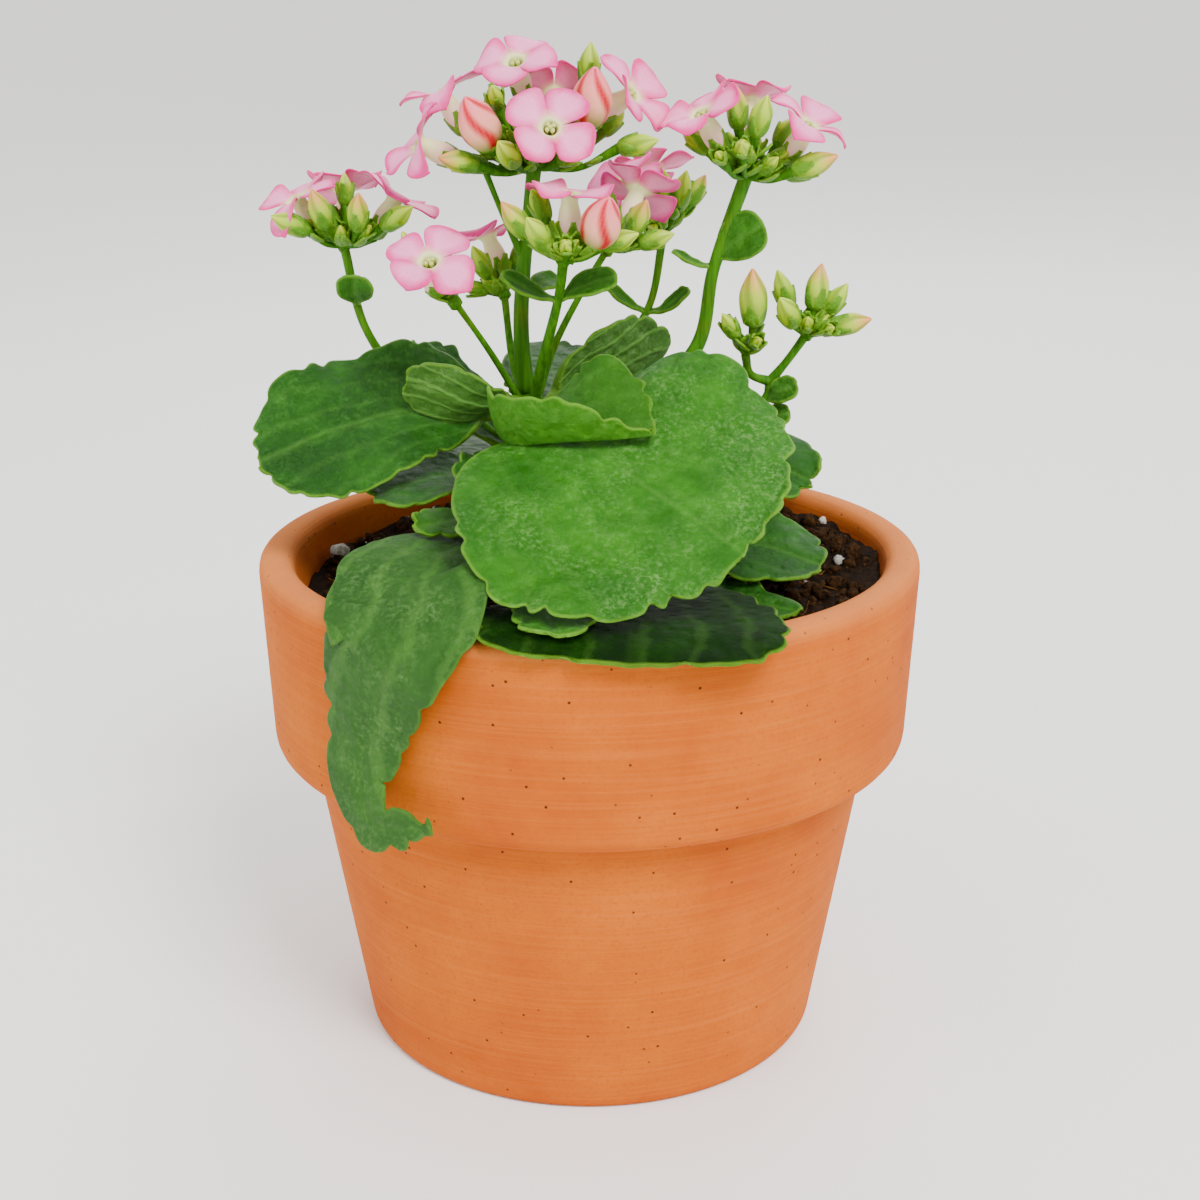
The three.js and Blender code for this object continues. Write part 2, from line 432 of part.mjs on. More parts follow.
// A truss: the stalk's top that carries it, its open flowers and its buds.
// "at" is a flower's throat or a bud's middle, and "face" the way it opens.
const TRUSSES = {
  truss_top: {
    hub: [-9, 0, 73],
    flowers: [
      { at: [-12, 3, 90], face: [-0.15, -0.35, 0.95], spin: 20 },
      { at: [-24.5, 7.5, 84.5], face: [-0.5, 0.1, 0.85], spin: 45 },
      { at: [-6, -12, 80], face: [0.05, -0.85, 0.5], spin: 15 },
      { at: [7, 2, 84.5], face: [0.8, -0.35, 0.5], spin: 40 },
      { at: [-6, 14, 84], face: [0.1, 0.7, 0.75], spin: 0 },
      { at: [-27.5, -3.5, 77], face: [-0.9, -0.15, 0.4], spin: 30 },
    ],
    buds: [
      { at: [-17.5, -9, 80.5], face: [-0.35, -0.5, 0.8], size: 1.15 },
      { at: [0.5, -2, 84], face: [0.1, -0.3, 0.95], size: 1.2 },
      { at: [-15, -5, 84.5], face: [-0.1, -0.8, 0.6], size: 0.7 },
      { at: [0, 6, 89], face: [0.1, 0, 1], size: 0.9 },
      { at: [-13, -9.5, 76], face: [-0.3, -0.7, 0.5], size: 0.9 },
      { at: [-21, -7, 74.5], face: [-0.8, -0.5, 0.2], size: 0.9 },
      { at: [8, -5, 77], face: [0.85, -0.4, 0.2], size: 0.9 },
      { at: [-16, 10, 82], face: [-0.3, 0.6, 0.8], size: 0.9 },
      { at: [4, 11, 80], face: [0.5, 0.6, 0.6], size: 0.9 },
    ],
  },
  truss_front: {
    hub: [-4, -16, 60],
    flowers: [{ at: [-3, -15, 70], face: [0, -0.1, 1], spin: 10 }],
    buds: [
      { at: [2, -21, 66.5], face: [0.25, -0.55, 0.8], size: 1.1 },
      { at: [-11.5, -17, 66.5], face: [-0.6, -0.2, 0.8], size: 0.9 },
      { at: [-8, -21.5, 65], face: [-0.4, -0.6, 0.7], size: 0.9 },
      { at: [-3.5, -22.5, 63], face: [0, -0.9, 0.35], size: 0.6 },
      { at: [5, -18.5, 63.5], face: [0.9, -0.3, 0.35], size: 0.8 },
      { at: [-8, -9.5, 68], face: [-0.4, 0.6, 0.8], size: 0.8 },
    ],
  },
  truss_inner: {
    hub: [3, -2, 60],
    flowers: [{ at: [8, 3, 69], face: [0.3, 0.5, 0.8], spin: 0 }],
    buds: [
      { at: [8, -9, 66], face: [0.35, -0.5, 0.8], size: 0.9 },
      { at: [11, -5, 62], face: [0.9, -0.3, 0.3], size: 0.8 },
      { at: [3, 3, 67], face: [-0.2, 0.4, 0.9], size: 0.8 },
    ],
  },
  truss_right: {
    hub: [26, 5, 71],
    flowers: [
      { at: [18, -1, 81.5], face: [-0.5, -0.35, 0.8], spin: 20 },
      { at: [27, 14, 83], face: [0.1, 0.3, 0.9], spin: 10 },
      { at: [36, 3, 79.5], face: [0.5, -0.2, 0.85], spin: 35 },
    ],
    buds: [
      { at: [24, 0.5, 82.5], face: [-0.1, -0.2, 1], size: 0.9 },
      { at: [27.5, -5, 81.5], face: [0.2, -0.5, 0.85], size: 0.95 },
      { at: [24.5, -6, 76.5], face: [-0.1, -0.9, 0.35], size: 0.7 },
      { at: [21, -4.5, 75], face: [-0.3, -0.8, 0.4], size: 0.5 },
      { at: [37, 0, 73.5], face: [0.9, -0.2, 0.35], size: 1 },
      { at: [36, 8, 71.5], face: [0.9, 0.25, 0.05], size: 0.85 },
      { at: [17.5, 6, 77], face: [-0.7, 0.2, 0.6], size: 0.8 },
      { at: [33, 11, 78], face: [0.5, 0.6, 0.7], size: 0.8 },
    ],
  },
  truss_rear: {
    hub: [13, 21, 60],
    flowers: [
      { at: [6, 19, 69], face: [-0.5, -0.2, 0.8], spin: 10 },
      { at: [11, 30, 70], face: [-0.1, 0.5, 0.8], spin: 40 },
    ],
    buds: [
      { at: [12.5, 17.5, 68.5], face: [-0.1, -0.3, 0.95], size: 0.9 },
      { at: [16, 17, 68], face: [0.2, -0.3, 0.95], size: 0.85 },
      { at: [9.5, 15.5, 65], face: [-0.3, -0.8, 0.6], size: 0.7 },
      { at: [11, 16, 61], face: [-0.1, -1, 0.1], size: 0.6 },
      { at: [19, 25, 67], face: [0.5, 0.4, 0.8], size: 0.8 },
    ],
  },
  truss_low_right: {
    hub: [37, 4, 45],
    arms: [
      [[31, 5, 36.5], [34, 4.5, 40.5], [37, 4, 45]],
      [[31, 5, 36.5], [27.5, 4, 38], [26.5, 3, 41.5]],
    ],
    flowers: [],
    buds: [
      { at: [33, 7, 52], face: [-0.3, 0.2, 0.95], size: 0.9 },
      { at: [33, -0.5, 49.5], face: [-0.4, -0.6, 0.7], size: 0.95 },
      { at: [38.5, 4, 53], face: [0.15, 0, 1], size: 1 },
      { at: [42, 6, 50.5], face: [0.6, 0.2, 0.8], size: 0.85 },
      { at: [44, 2, 47], face: [0.95, -0.2, 0.25], size: 0.95 },
      { at: [40, -0.5, 46.5], face: [0.4, -0.9, 0.3], size: 0.5 },
      { at: [27.5, 2, 51.5], face: [-0.05, -0.1, 1], size: 1.25, from: [26.5, 3, 41.5] },
      { at: [23.5, 0.5, 47], face: [-0.5, -0.4, 0.8], size: 0.7, from: [26.5, 3, 41.5] },
      { at: [28, -1.5, 44.5], face: [0.2, -0.9, 0.4], size: 0.5, from: [26.5, 3, 41.5] },
    ],
  },
  truss_left: {
    hub: [-42, 10, 59],
    flowers: [
      { at: [-49.5, 9, 67], face: [-0.5, -0.1, 0.85], spin: 20 },
      { at: [-33, 11, 67], face: [0.5, 0, 0.85], spin: 35 },
      { at: [-42.5, 18.5, 67.5], face: [-0.05, 0.4, 0.9], spin: 10 },
    ],
    buds: [
      { at: [-50, 3.5, 63.5], face: [-0.8, -0.4, 0.4], size: 0.9 },
      { at: [-45, 3.5, 66], face: [-0.25, -0.4, 0.9], size: 0.95 },
      { at: [-38.5, 3.5, 65.5], face: [0.1, -0.4, 0.9], size: 0.9 },
      { at: [-32, 4.5, 64.5], face: [0.75, -0.4, 0.5], size: 0.9 },
      { at: [-41.5, 10.5, 68.5], face: [0, 0, 1], size: 0.7 },
    ],
  },
  truss_rear_left: {
    hub: [-15, 15, 50],
    flowers: [{ at: [-18, 20, 59.5], face: [-0.35, 0.1, 0.9], spin: 30 }],
    buds: [
      { at: [-19, 13, 56], face: [-0.4, -0.3, 0.9], size: 0.8 },
      { at: [-20, 14, 51], face: [-0.9, -0.3, 0.1], size: 0.6 },
      { at: [-12, 20, 57], face: [0.4, 0.4, 0.8], size: 0.8 },
    ],
  },
  truss_front_left: {
    hub: [-21.5, -13, 53],
    flowers: [{ at: [-25, -17.5, 60], face: [-0.1, -0.65, 0.75], spin: 10 }],
    buds: [
      { at: [-28.5, -9, 60.5], face: [-0.45, 0.2, 0.9], size: 0.9 },
      { at: [-24, -8, 59], face: [0.1, 0.4, 0.9], size: 0.7 },
    ],
  },
};

/** A stalk with its branches and bracts as one solid. */
function stalkSolid({ points, radii, branches = [], bracts = [] }) {
  const limbs = branches.map((branch) => stem(branch.points, [branch.radius, branch.radius], { sides: 5 }));
  const blades = bracts.map((bract) =>
    leaf(
      { ...bract, faces: [bract.face, bract.face], petiole: 0.15, lengthSteps: 3 },
      BRACT_THICKNESS,
    ),
  );
  return joined([stem(points, radii, { steps: 2 * (points.length - 1) }), ...limbs, ...blades]);
}

/** A stalk's own tube and branches with room round them, which cuts the pieces that meet it. */
function stalkRoom({ points, radii, branches = [] }) {
  const grow = CLEARANCE;
  return [
    stem(points, radii, { steps: 2 * (points.length - 1), grow }),
    ...branches.map((branch) => stem(branch.points, [branch.radius, branch.radius], { sides: 5, grow })),
  ];
}

/** A corolla as one closed surface: a tube that opens into lobes, looking along +Z from its throat. */
function corollaGeometry() {
  const lobeShapes = [1, 0.9, 0.42, 0.9]; // the lobe's outline at its middle, shoulder, notch and shoulder
  const segments = lobeShapes.length * PETAL_COUNT;
  const reach = FLOWER_WIDTH / 2;
  const rows = [
    { radius: TUBE_RADIUS, height: -TUBE_LENGTH },
    { radius: TUBE_RADIUS, height: -1.2 },
    { radius: 0.7 * reach, height: 0, lobed: true },
    { radius: reach, height: 0.5, lobed: true },
    { radius: reach, height: 0.5 + PETAL_THICKNESS, lobed: true },
    { radius: 0.5 * TUBE_RADIUS, height: 0 },
  ];
  const rings = rows.map(({ radius, height, lobed }) => {
    const ring = [];
    for (let k = 0; k < segments; k++) {
      const angle = (2 * Math.PI * k) / segments;
      const out = radius * (lobed ? lobeShapes[k % lobeShapes.length] : 1);
      ring.push(new THREE.Vector3(out * Math.cos(angle), out * Math.sin(angle), height));
    }
    return ring;
  });
  return loft(rings);
}

/** A bud about its middle, pointing along +Z. */
function budGeometry(size) {
  const half = (BUD_LENGTH * size) / 2;
  const girth = BUD_RADIUS * size;
  const profile = [
    new THREE.Vector2(0, -half),
    new THREE.Vector2(0.75 * girth, -0.8 * half),
    new THREE.Vector2(girth, 0.1 * half),
    new THREE.Vector2(0, half),
  ];
  return new THREE.LatheGeometry(profile, 5).rotateX(Math.PI / 2);
}

/** Where a flower or bud of a truss is: the wider the flowers, the further they stand from what bears them. */
function placeInTruss({ hub }, { at, from = hub }) {
  const spread = FLOWER_WIDTH / FLOWER_SPACING;
  return vector(from).lerp(vector(at), spread).toArray();
}

/** A truss as one solid: a pedicel to each flower and bud, and the buds themselves. */
function trussSolid(truss) {
  const { hub, arms = [], flowers, buds } = truss;
  const pieces = [solidOf(new THREE.IcosahedronGeometry(1.3, 0).translate(...hub))];
  pieces.push(...arms.map((arm) => stem(arm, [0.7, 0.65], { sides: 5, steps: 3 })));
  const pedicel = (end, from = hub) => {
    const start = vector(from);
    const middle = start.clone().lerp(end, 0.5);
    middle.z -= 0.12 * start.distanceTo(end);
    const points = [start, middle, end].map((p) => p.toArray());
    return stem(points, [PEDICEL_RADIUS, PEDICEL_RADIUS], { sides: 3, steps: 2 });
  };
  for (const flower of flowers) {
    const back = TUBE_LENGTH + CLEARANCE;
    const throat = vector(placeInTruss(truss, flower));
    pieces.push(pedicel(throat.addScaledVector(vector(flower.face).normalize(), -back)));
  }
  for (const bud of buds) {
    const { face, size, from } = bud;
    const at = placeInTruss(truss, bud);
    const back = 0.4 * BUD_LENGTH * size;
    pieces.push(pedicel(vector(at).addScaledVector(vector(face).normalize(), -back), from));
    pieces.push(solidOf(aimed(budGeometry(size), at, face)));
  }
  return joined(pieces);
}

// ---- Assembly ----
const plant = new THREE.Group();
plant.position.z = NECK_LEVEL;
const pottedKalanchoe = new THREE.Group();
pottedKalanchoe.add(plant);

/** Adds a solid to a group as a named piece with a plain material of that colour. */
function addPiece(group, name, solid, colour) {
  const material = new THREE.MeshStandardMaterial({ color: colour, roughness: 0.7, metalness: 0 });
  const mesh = new THREE.Mesh(geometryOf(solid), material);
  mesh.name = name;
  group.add(mesh);
}

const stemRadii = [STEM_FOOT_RADIUS, STEM_TOP_RADIUS];
const stemRoom = stem(MAIN_STEM, stemRadii, { sides: 8, grow: CLEARANCE });
const stalkRooms = Object.fromEntries(Object.entries(STALKS).map(([name, shape]) => [name, stalkRoom(shape)]));

addPiece(pottedKalanchoe, "pot", potSolid(), COLOURS.terracotta);
addPiece(
  pottedKalanchoe,
  "soil",
  cutBy(soilSolid(), [stemRoom.translate([0, 0, NECK_LEVEL])]),
  COLOURS.soil,
);
addPiece(plant, "main_stem", stem(MAIN_STEM, stemRadii, { sides: 8 }), COLOURS.stem);
for (const [name, shape] of Object.entries(STALKS)) {
  addPiece(plant, name, cutBy(stalkSolid(shape), [stemRoom]), COLOURS.stem);
}
for (const [name, shape] of Object.entries(LEAVES)) {
  const rooms = Object.values(stalkRooms).flat();
  addPiece(plant, name, cutBy(leaf(shape), [stemRoom, ...rooms]), COLOURS.leaf);
}
for (const [name, truss] of Object.entries(TRUSSES)) {
  addPiece(plant, name, cutBy(trussSolid(truss), Object.values(stalkRooms).flat()), COLOURS.bud);
  truss.flowers.forEach((flower, index) => {
    const at = placeInTruss(truss, flower);
    const corolla = solidOf(aimed(corollaGeometry(), at, flower.face, flower.spin));
    addPiece(plant, `${name.replace("truss", "flower")}_${index + 1}`, corolla, COLOURS.petal);
  });
}

export default pottedKalanchoe;
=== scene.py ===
"""A flowering kalanchoe in a terracotta pot: scalloped leaves, heads of pink flowers and buds, and soil."""

from __future__ import annotations

import logging
import math
import random
from dataclasses import dataclass, field
from enum import Enum
from functools import partial
from typing import Any, Callable, Iterable, Sequence

import bmesh
import bpy
import numpy as np
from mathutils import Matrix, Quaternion, Vector, noise


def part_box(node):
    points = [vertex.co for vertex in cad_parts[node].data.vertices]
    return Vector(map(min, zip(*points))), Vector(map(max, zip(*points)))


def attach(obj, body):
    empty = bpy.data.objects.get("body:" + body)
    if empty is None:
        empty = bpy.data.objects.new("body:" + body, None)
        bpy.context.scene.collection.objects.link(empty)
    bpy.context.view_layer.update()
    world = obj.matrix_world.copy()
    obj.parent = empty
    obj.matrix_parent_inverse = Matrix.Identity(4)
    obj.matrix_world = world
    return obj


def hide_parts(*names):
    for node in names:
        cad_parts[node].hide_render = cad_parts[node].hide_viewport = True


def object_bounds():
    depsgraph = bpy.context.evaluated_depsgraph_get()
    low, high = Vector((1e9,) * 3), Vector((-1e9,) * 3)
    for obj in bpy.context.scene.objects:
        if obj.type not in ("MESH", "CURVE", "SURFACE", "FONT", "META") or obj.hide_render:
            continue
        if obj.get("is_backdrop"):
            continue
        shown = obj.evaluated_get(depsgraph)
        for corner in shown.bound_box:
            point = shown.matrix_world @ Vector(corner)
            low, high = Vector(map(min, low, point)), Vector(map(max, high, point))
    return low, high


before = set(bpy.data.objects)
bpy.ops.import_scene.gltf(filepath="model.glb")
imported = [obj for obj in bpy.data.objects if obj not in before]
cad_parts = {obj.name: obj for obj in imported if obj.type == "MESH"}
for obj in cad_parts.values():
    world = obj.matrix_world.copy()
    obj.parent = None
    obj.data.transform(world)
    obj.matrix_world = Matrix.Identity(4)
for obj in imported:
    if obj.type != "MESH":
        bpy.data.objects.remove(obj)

log = logging.getLogger("kalanchoe")

MM = 0.001  # the shapes are worked out in millimetres, and the scene is in metres
Point = tuple[float, float, float]


# ---------------------------------------------------------------- shared helpers


def linear(colour: str) -> tuple[float, float, float, float]:
    """Turns an sRGB hex colour into the linear one that a shader takes.

    Args:
        colour: The colour as "#rrggbb".

    Returns:
        Red, green, blue and full opacity.
    """
    parts = [int(colour[i : i + 2], 16) / 255 for i in (1, 3, 5)]
    red, green, blue = (p / 12.92 if p <= 0.04045 else ((p + 0.055) / 1.055) ** 2.4 for p in parts)
    return red, green, blue, 1.0


def add_node(
    tree: bpy.types.NodeTree,
    kind: str,
    inputs: dict[int | str, Any] | None = None,
    out: int | str = 0,
    **settings: Any,
) -> Any:
    """Adds a node to a material with its settings and what goes into it.

    Args:
        tree: The material's node tree.
        kind: The node's type name, without the start that all of them share.
        inputs: Each input's name or index, with what goes into it: an output socket, a value or a hex colour.
        out: The name or index of the output to give.
        settings: The node's own properties.

    Returns:
        That output of the new node.
    """
    made = tree.nodes.new(f"ShaderNode{kind}")
    for name, value in settings.items():
        setattr(made, name, value)
    for key, value in (inputs or {}).items():
        if isinstance(value, bpy.types.NodeSocket):
            tree.links.new(value, made.inputs[key])
        else:
            made.inputs[key].default_value = linear(value) if isinstance(value, str) else value
    return made.outputs[out]


def new_material(name: str) -> tuple[bpy.types.Material, Callable[..., Any], Any]:
    """Makes an empty material with a Principled shader joined to its output.

    Args:
        name: The material's name.

    Returns:
        The material, what adds a node to it, and its shader node.
    """
    material = bpy.data.materials.new(name)
    material.use_nodes = True
    material.node_tree.nodes.clear()
    add = partial(add_node, material.node_tree)
    shader = add("BsdfPrincipled")
    output = material.node_tree.nodes.new("ShaderNodeOutputMaterial")
    material.node_tree.links.new(shader, output.inputs["Surface"])
    return material, add, shader.node


# A colour Mix node has its factor, first and second colour at these inputs and its result at this output.
FACTOR, FIRST, SECOND, RESULT = 0, 6, 7, 2


def smooth_curve(points: Sequence[Point], count: int) -> tuple[np.ndarray, np.ndarray]:
    """Samples a smooth curve through points at even steps along its length.

    Args:
        points: The points that it passes through, in millimetres.
        count: How many samples.

    Returns:
        The samples and the curve's direction at each.
    """
    ends = np.array(points, float)
    padded = np.vstack([2 * ends[0] - ends[1], ends, 2 * ends[-1] - ends[-2]])
    u = np.linspace(0, 1, 80, endpoint=False)[:, None]
    spans = []
    for a, b, c, d in zip(padded, padded[1:], padded[2:], padded[3:]):
        leave, arrive = (c - a) / 2, (d - b) / 2
        spans.append(
            b + leave * u + (3 * (c - b) - 2 * leave - arrive) * u**2 + (2 * (b - c) + leave + arrive) * u**3
        )
    fine = np.vstack([*spans, ends[-1:]])
    length = np.concatenate([[0], np.cumsum(np.linalg.norm(np.diff(fine, axis=0), axis=1))])
    wanted = np.linspace(0, length[-1], count)
    along = np.stack([np.interp(wanted, length, fine[:, k]) for k in range(3)], 1)
    heading = np.gradient(along, axis=0)
    return along, heading / np.linalg.norm(heading, axis=1)[:, None]


def spread_faces(faces: Sequence[Point], shares: np.ndarray) -> np.ndarray:
    """Blends a list of directions spread evenly over a length.

    Args:
        faces: The directions.
        shares: The places along the length, from 0 to 1.

    Returns:
        A unit direction for each place.
    """
    given = np.array(faces, float)
    place = shares * (len(given) - 1)
    index = np.minimum(place.astype(int), len(given) - 2)
    part = (place - index)[:, None]
    blend = given[index] * (1 - part) + given[index + 1] * part
    return blend / np.linalg.norm(blend, axis=1)[:, None]


@dataclass
class MeshMaker:
    """Gathers vertices, faces and per-vertex facts, and turns them into one object."""

    vertices: list[np.ndarray] = field(default_factory=list)
    faces: list[tuple[int, ...]] = field(default_factory=list)
    facts: dict[str, list[np.ndarray]] = field(default_factory=dict)
    count: int = 0

    def add(self, points: np.ndarray, faces: Iterable[Sequence[int]], **facts: np.ndarray) -> None:
        """Adds a piece.

        Args:
            points: Its vertices, in millimetres.
            faces: Its faces, counted from its own first vertex.
            facts: Values of each vertex: three numbers each, stored under that name.
        """
        self.vertices.append(points)
        self.faces.extend(tuple(int(i) + self.count for i in face) for face in faces)
        for name, values in facts.items():
            self.facts.setdefault(name, []).append(values)
        self.count += len(points)

    def build(self, name: str, materials: Sequence[bpy.types.Material]) -> bpy.types.Object:
        """Makes the object.

        Args:
            name: Its name.
            materials: Its material slots.

        Returns:
            The object, smooth shaded, in metres.
        """
        mesh = bpy.data.meshes.new(name)
        mesh.from_pydata((np.vstack(self.vertices) * MM).tolist(), [], self.faces)
        for key, parts in self.facts.items():
            layer = mesh.attributes.new(key, "FLOAT_VECTOR", "POINT")
            layer.data.foreach_set("vector", np.vstack(parts).astype(np.float32).ravel())
        for material in materials:
            mesh.materials.append(material)
        mesh.polygons.foreach_set("use_smooth", [True] * len(mesh.polygons))
        mesh.validate()
        mesh.update()
        made = bpy.data.objects.new(name, mesh)
        bpy.context.scene.collection.objects.link(made)
        return made


def grid_faces(rows: int, columns: int, closed: bool = False, flip: bool = False) -> list[tuple[int, ...]]:
    """Lists the faces of a grid of vertices stored row by row.

    Args:
        rows: How many rows.
        columns: How many vertices in a row.
        closed: Whether each row closes on itself.
        flip: Whether the faces turn the other way.

    Returns:
        The faces as vertex numbers.
    """
    faces = []
    for i in range(rows - 1):
        for j in range(columns if closed else columns - 1):
            k = (j + 1) % columns
            face = (i * columns + j, i * columns + k, (i + 1) * columns + k, (i + 1) * columns + j)
            faces.append(face[::-1] if flip else face)
    return faces


def rings_to_solid(rings: np.ndarray) -> tuple[np.ndarray, list[tuple[int, ...]]]:
    """Closes a stack of rings into a solid, with a fan over each end.

    Args:
        rings: The rings' vertices, as rows, columns and coordinates, each turning left about the way up.

    Returns:
        Its vertices and faces.
    """
    rows, columns = rings.shape[:2]
    points = np.vstack([rings.reshape(-1, 3), rings[0].mean(0), rings[-1].mean(0)])
    faces = grid_faces(rows, columns, closed=True)
    first, last, top = rows * columns, rows * columns + 1, (rows - 1) * columns
    for j in range(columns):
        k = (j + 1) % columns
        faces += [(first, k, j), (last, top + j, top + k)]
    return points, faces


def tube(points: Sequence[Point], radii: Sequence[float], sides: int = 12, step: float = 0.9) -> Any:
    """Sweeps a round stem along a smooth curve, with rounded ends.

    Args:
        points: The points that it passes through, in millimetres.
        radii: Its radius at even steps along it.
        sides: How many sides it has.
        step: The distance between its rings, in millimetres.

    Returns:
        Its vertices and faces.
    """
    length = sum(math.dist(a, b) for a, b in zip(points, points[1:]))
    count = max(6, int(length / step))
    along, heading = smooth_curve(points, count)
    shares = np.linspace(0, 1, count)
    radius = np.interp(shares, np.linspace(0, 1, len(radii)), radii)
    side = np.cross(heading[0], (0.3, 0.9, 0.2))
    rings = []
    angles = np.linspace(0, 2 * math.pi, sides, endpoint=False)[:, None]
    for centre, forward, width in zip(along, heading, radius):
        side = side - forward * side.dot(forward)
        side /= np.linalg.norm(side)
        over = np.cross(forward, side)
        rings.append(centre + width * (np.cos(angles) * side + np.sin(angles) * over))
    start = [along[0] + 0.6 * (rings[0] - along[0]) - 0.55 * radius[0] * heading[0]]
    end = [along[-1] + 0.6 * (rings[-1] - along[-1]) + 0.55 * radius[-1] * heading[-1]]
    return rings_to_solid(np.array([*start, *rings, *end]))


def turned_to(direction: Point, spin: float = 0.0) -> np.ndarray:
    """Gives the turn that points +Z along a direction.

    Args:
        direction: The direction.
        spin: A turn about it, in degrees.

    Returns:
        The turn as a 3 by 3 matrix.
    """
    aim = Vector((0, 0, 1)).rotation_difference(Vector(direction).normalized())
    return np.array((aim @ Quaternion((0, 0, 1), math.radians(spin))).to_matrix())


def rough(points: np.ndarray, grain: float, seed: float = 0.0) -> np.ndarray:
    """Gives a smooth noise value at each point.

    Args:
        points: The points, in millimetres.
        grain: The size of its lumps, in millimetres.
        seed: A shift that makes a different noise.

    Returns:
        A value from about -1 to 1 for each point.
    """
    shift = Vector((seed * 7.1, seed * 3.3, seed * 5.7))
    return np.array([noise.noise(Vector(p) / grain + shift) for p in points])


def thicken(piece: bpy.types.Object, thickness: float, under: int = 0, group: str = "") -> None:
    """Gives a surface its thickness and rounds its edges.

    Args:
        piece: The surface.
        thickness: Its thickness, in millimetres.
        under: How many material slots further on its under side's material is.
        group: The vertex group that thins it, if any.
    """
    shell = piece.modifiers.new("thickness", "SOLIDIFY")
    shell.thickness = thickness * MM
    shell.offset = 0
    shell.material_offset = under
    if group:
        shell.vertex_group = group
        shell.thickness_vertex_group = 0.0
    finer = piece.modifiers.new("rounding", "SUBSURF")
    finer.levels = finer.render_levels = 1


def place(piece: bpy.types.Object, slot: str, *nodes: str) -> bpy.types.Object:
    """Puts a piece on the model's one body and, if it stands for CAD nodes, hides those.

    Args:
        piece: The piece.
        slot: Not used.
        nodes: The CAD nodes that it stands for.

    Returns:
        The piece.
    """
    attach(piece, "root")
    if nodes:
        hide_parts(*nodes)
    return piece


# ---------------------------------------------------------------- finishes


class Finish:
    """What the finishes share: how their colours, their relief and their constants reach the shader."""

    name: str
    roughness: float
    ior: float
    gloss: float
    glow: float = 0.0  # how much of the light goes into the surface and comes out beside where it went in
    glow_reach: Point = (1.0, 1.0, 1.0)  # how far its red, green and blue go, in millimetres

    def dress(
        self,
        add: Callable[..., Any],
        shader: Any,
        colour: Any,
        layers: Sequence[tuple[Any, str]],
        relief: tuple[Any, float, float],
        roughness: Any = None,
    ) -> None:
        """Lays the colours over each other and sets the shader.

        Args:
            add: Adds a node to the material.
            shader: The material's shader.
            colour: The colour under all the others.
            layers: The colours over it, each with how much of it shows.
            relief: The surface's height, with the strength and the depth in metres of what it raises.
            roughness: What drives the roughness, where it isn't the same all over.
        """
        for factor, over in layers:
            colour = add("Mix", {FACTOR: factor, FIRST: colour, SECOND: over}, out=RESULT, data_type="RGBA")
        height, strength, depth = relief
        bump = add("Bump", {"Height": height, "Strength": strength, "Distance": depth})
        links = shader.id_data.links
        links.new(colour, shader.inputs["Base Color"])
        links.new(bump, shader.inputs["Normal"])
        shader.inputs["Roughness"].default_value = self.roughness
        if roughness:
            links.new(roughness, shader.inputs["Roughness"])
        shader.inputs["IOR"].default_value = self.ior
        shader.inputs["Specular IOR Level"].default_value = self.gloss
        if self.glow:
            shader.inputs["Subsurface Weight"].default_value = self.glow
            shader.inputs["Subsurface Radius"].default_value = self.glow_reach
            shader.inputs["Subsurface Scale"].default_value = MM


@dataclass(frozen=True)
class Terracotta(Finish):
    """Terracotta: iron-red earthenware thrown on a wheel and fired unglazed, so it is matt and streaked.

    The wheel leaves fine level lines, and coarse clay leaves a sandy grain and small open pits.
    """

    name: str = "unglazed_terracotta"
    clay: str = "#c4640a"
    deep: str = "#ad4c05"
    pale: str = "#dd8a3c"
    # The painted shade inside the open pits.
    pit_shade: str = "#4c200b"
    # The paler colour of the painted light inside the rim and on the lip.
    chalk: str = "#e29a5c"
    roughness: float = 0.82
    ior: float = 1.5
    gloss: float = 0.12
    line_spacing: float = 0.6
    pit_spacing: float = 2.6

    def material(self) -> bpy.types.Material:
        """Makes the material."""
        material, add, shader = new_material(self.name)
        here = add("TexCoord", out="Object")
        # Long level streaks: noise half a millimetre or so tall that hardly changes round the pot.
        level = add("Mapping", {"Vector": here, "Scale": (22, 22, 1000 / self.line_spacing)})
        streak = add("TexNoise", {"Vector": level, "Scale": 1.0, "Detail": 5, "Roughness": 0.6})
        lines = add("MapRange", {"Value": streak, "From Min": 0.45, "From Max": 0.75, "To Max": 0.17})
        cloud = add("TexNoise", {"Vector": here, "Scale": 38.0, "Detail": 5, "Roughness": 0.62})
        light = add("MapRange", {"Value": cloud, "From Min": 0.32, "From Max": 0.68})
        # The clay's grain, about half a millimetre across.
        grain = add("TexNoise", {"Vector": here, "Scale": 1600.0, "Detail": 3})
        sand = add("MapRange", {"Value": grain, "From Min": 0.5, "From Max": 0.7, "To Max": 0.5})
        # Open pits, a few millimetres apart and well under a millimetre wide, darkened with painted shade.
        cells = add("TexVoronoi", {"Vector": here, "Scale": 1000 / self.pit_spacing, "Randomness": 1.0})
        keep = add("SeparateColor", {"Color": cells.node.outputs["Color"]})
        some = add("Math", {0: keep, 1: 0.3}, operation="GREATER_THAN")
        near = add("MapRange", {"Value": cells, "From Min": 0.06, "From Max": 0.12, "To Min": 1, "To Max": 0})
        pits = add("Math", {0: some, 1: near}, operation="MULTIPLY")
        # The lip and the clay inside the rim are painted paler: painted light, as if more light fell on them.
        painted_light_mask = add("Attribute", out="Fac", attribute_name="chalk")
        rise = add("Math", {0: streak, 1: pits}, operation="SUBTRACT")
        fine = add("Math", {0: grain, 1: 0.35, 2: rise}, operation="MULTIPLY_ADD")
        layers = [
            (light, self.clay), (sand, self.deep), (lines, self.pale), (pits, self.pit_shade), (painted_light_mask, self.chalk),
        ]
        self.dress(add, shader, self.deep, layers, (fine, 0.35, 0.0004))
        return material


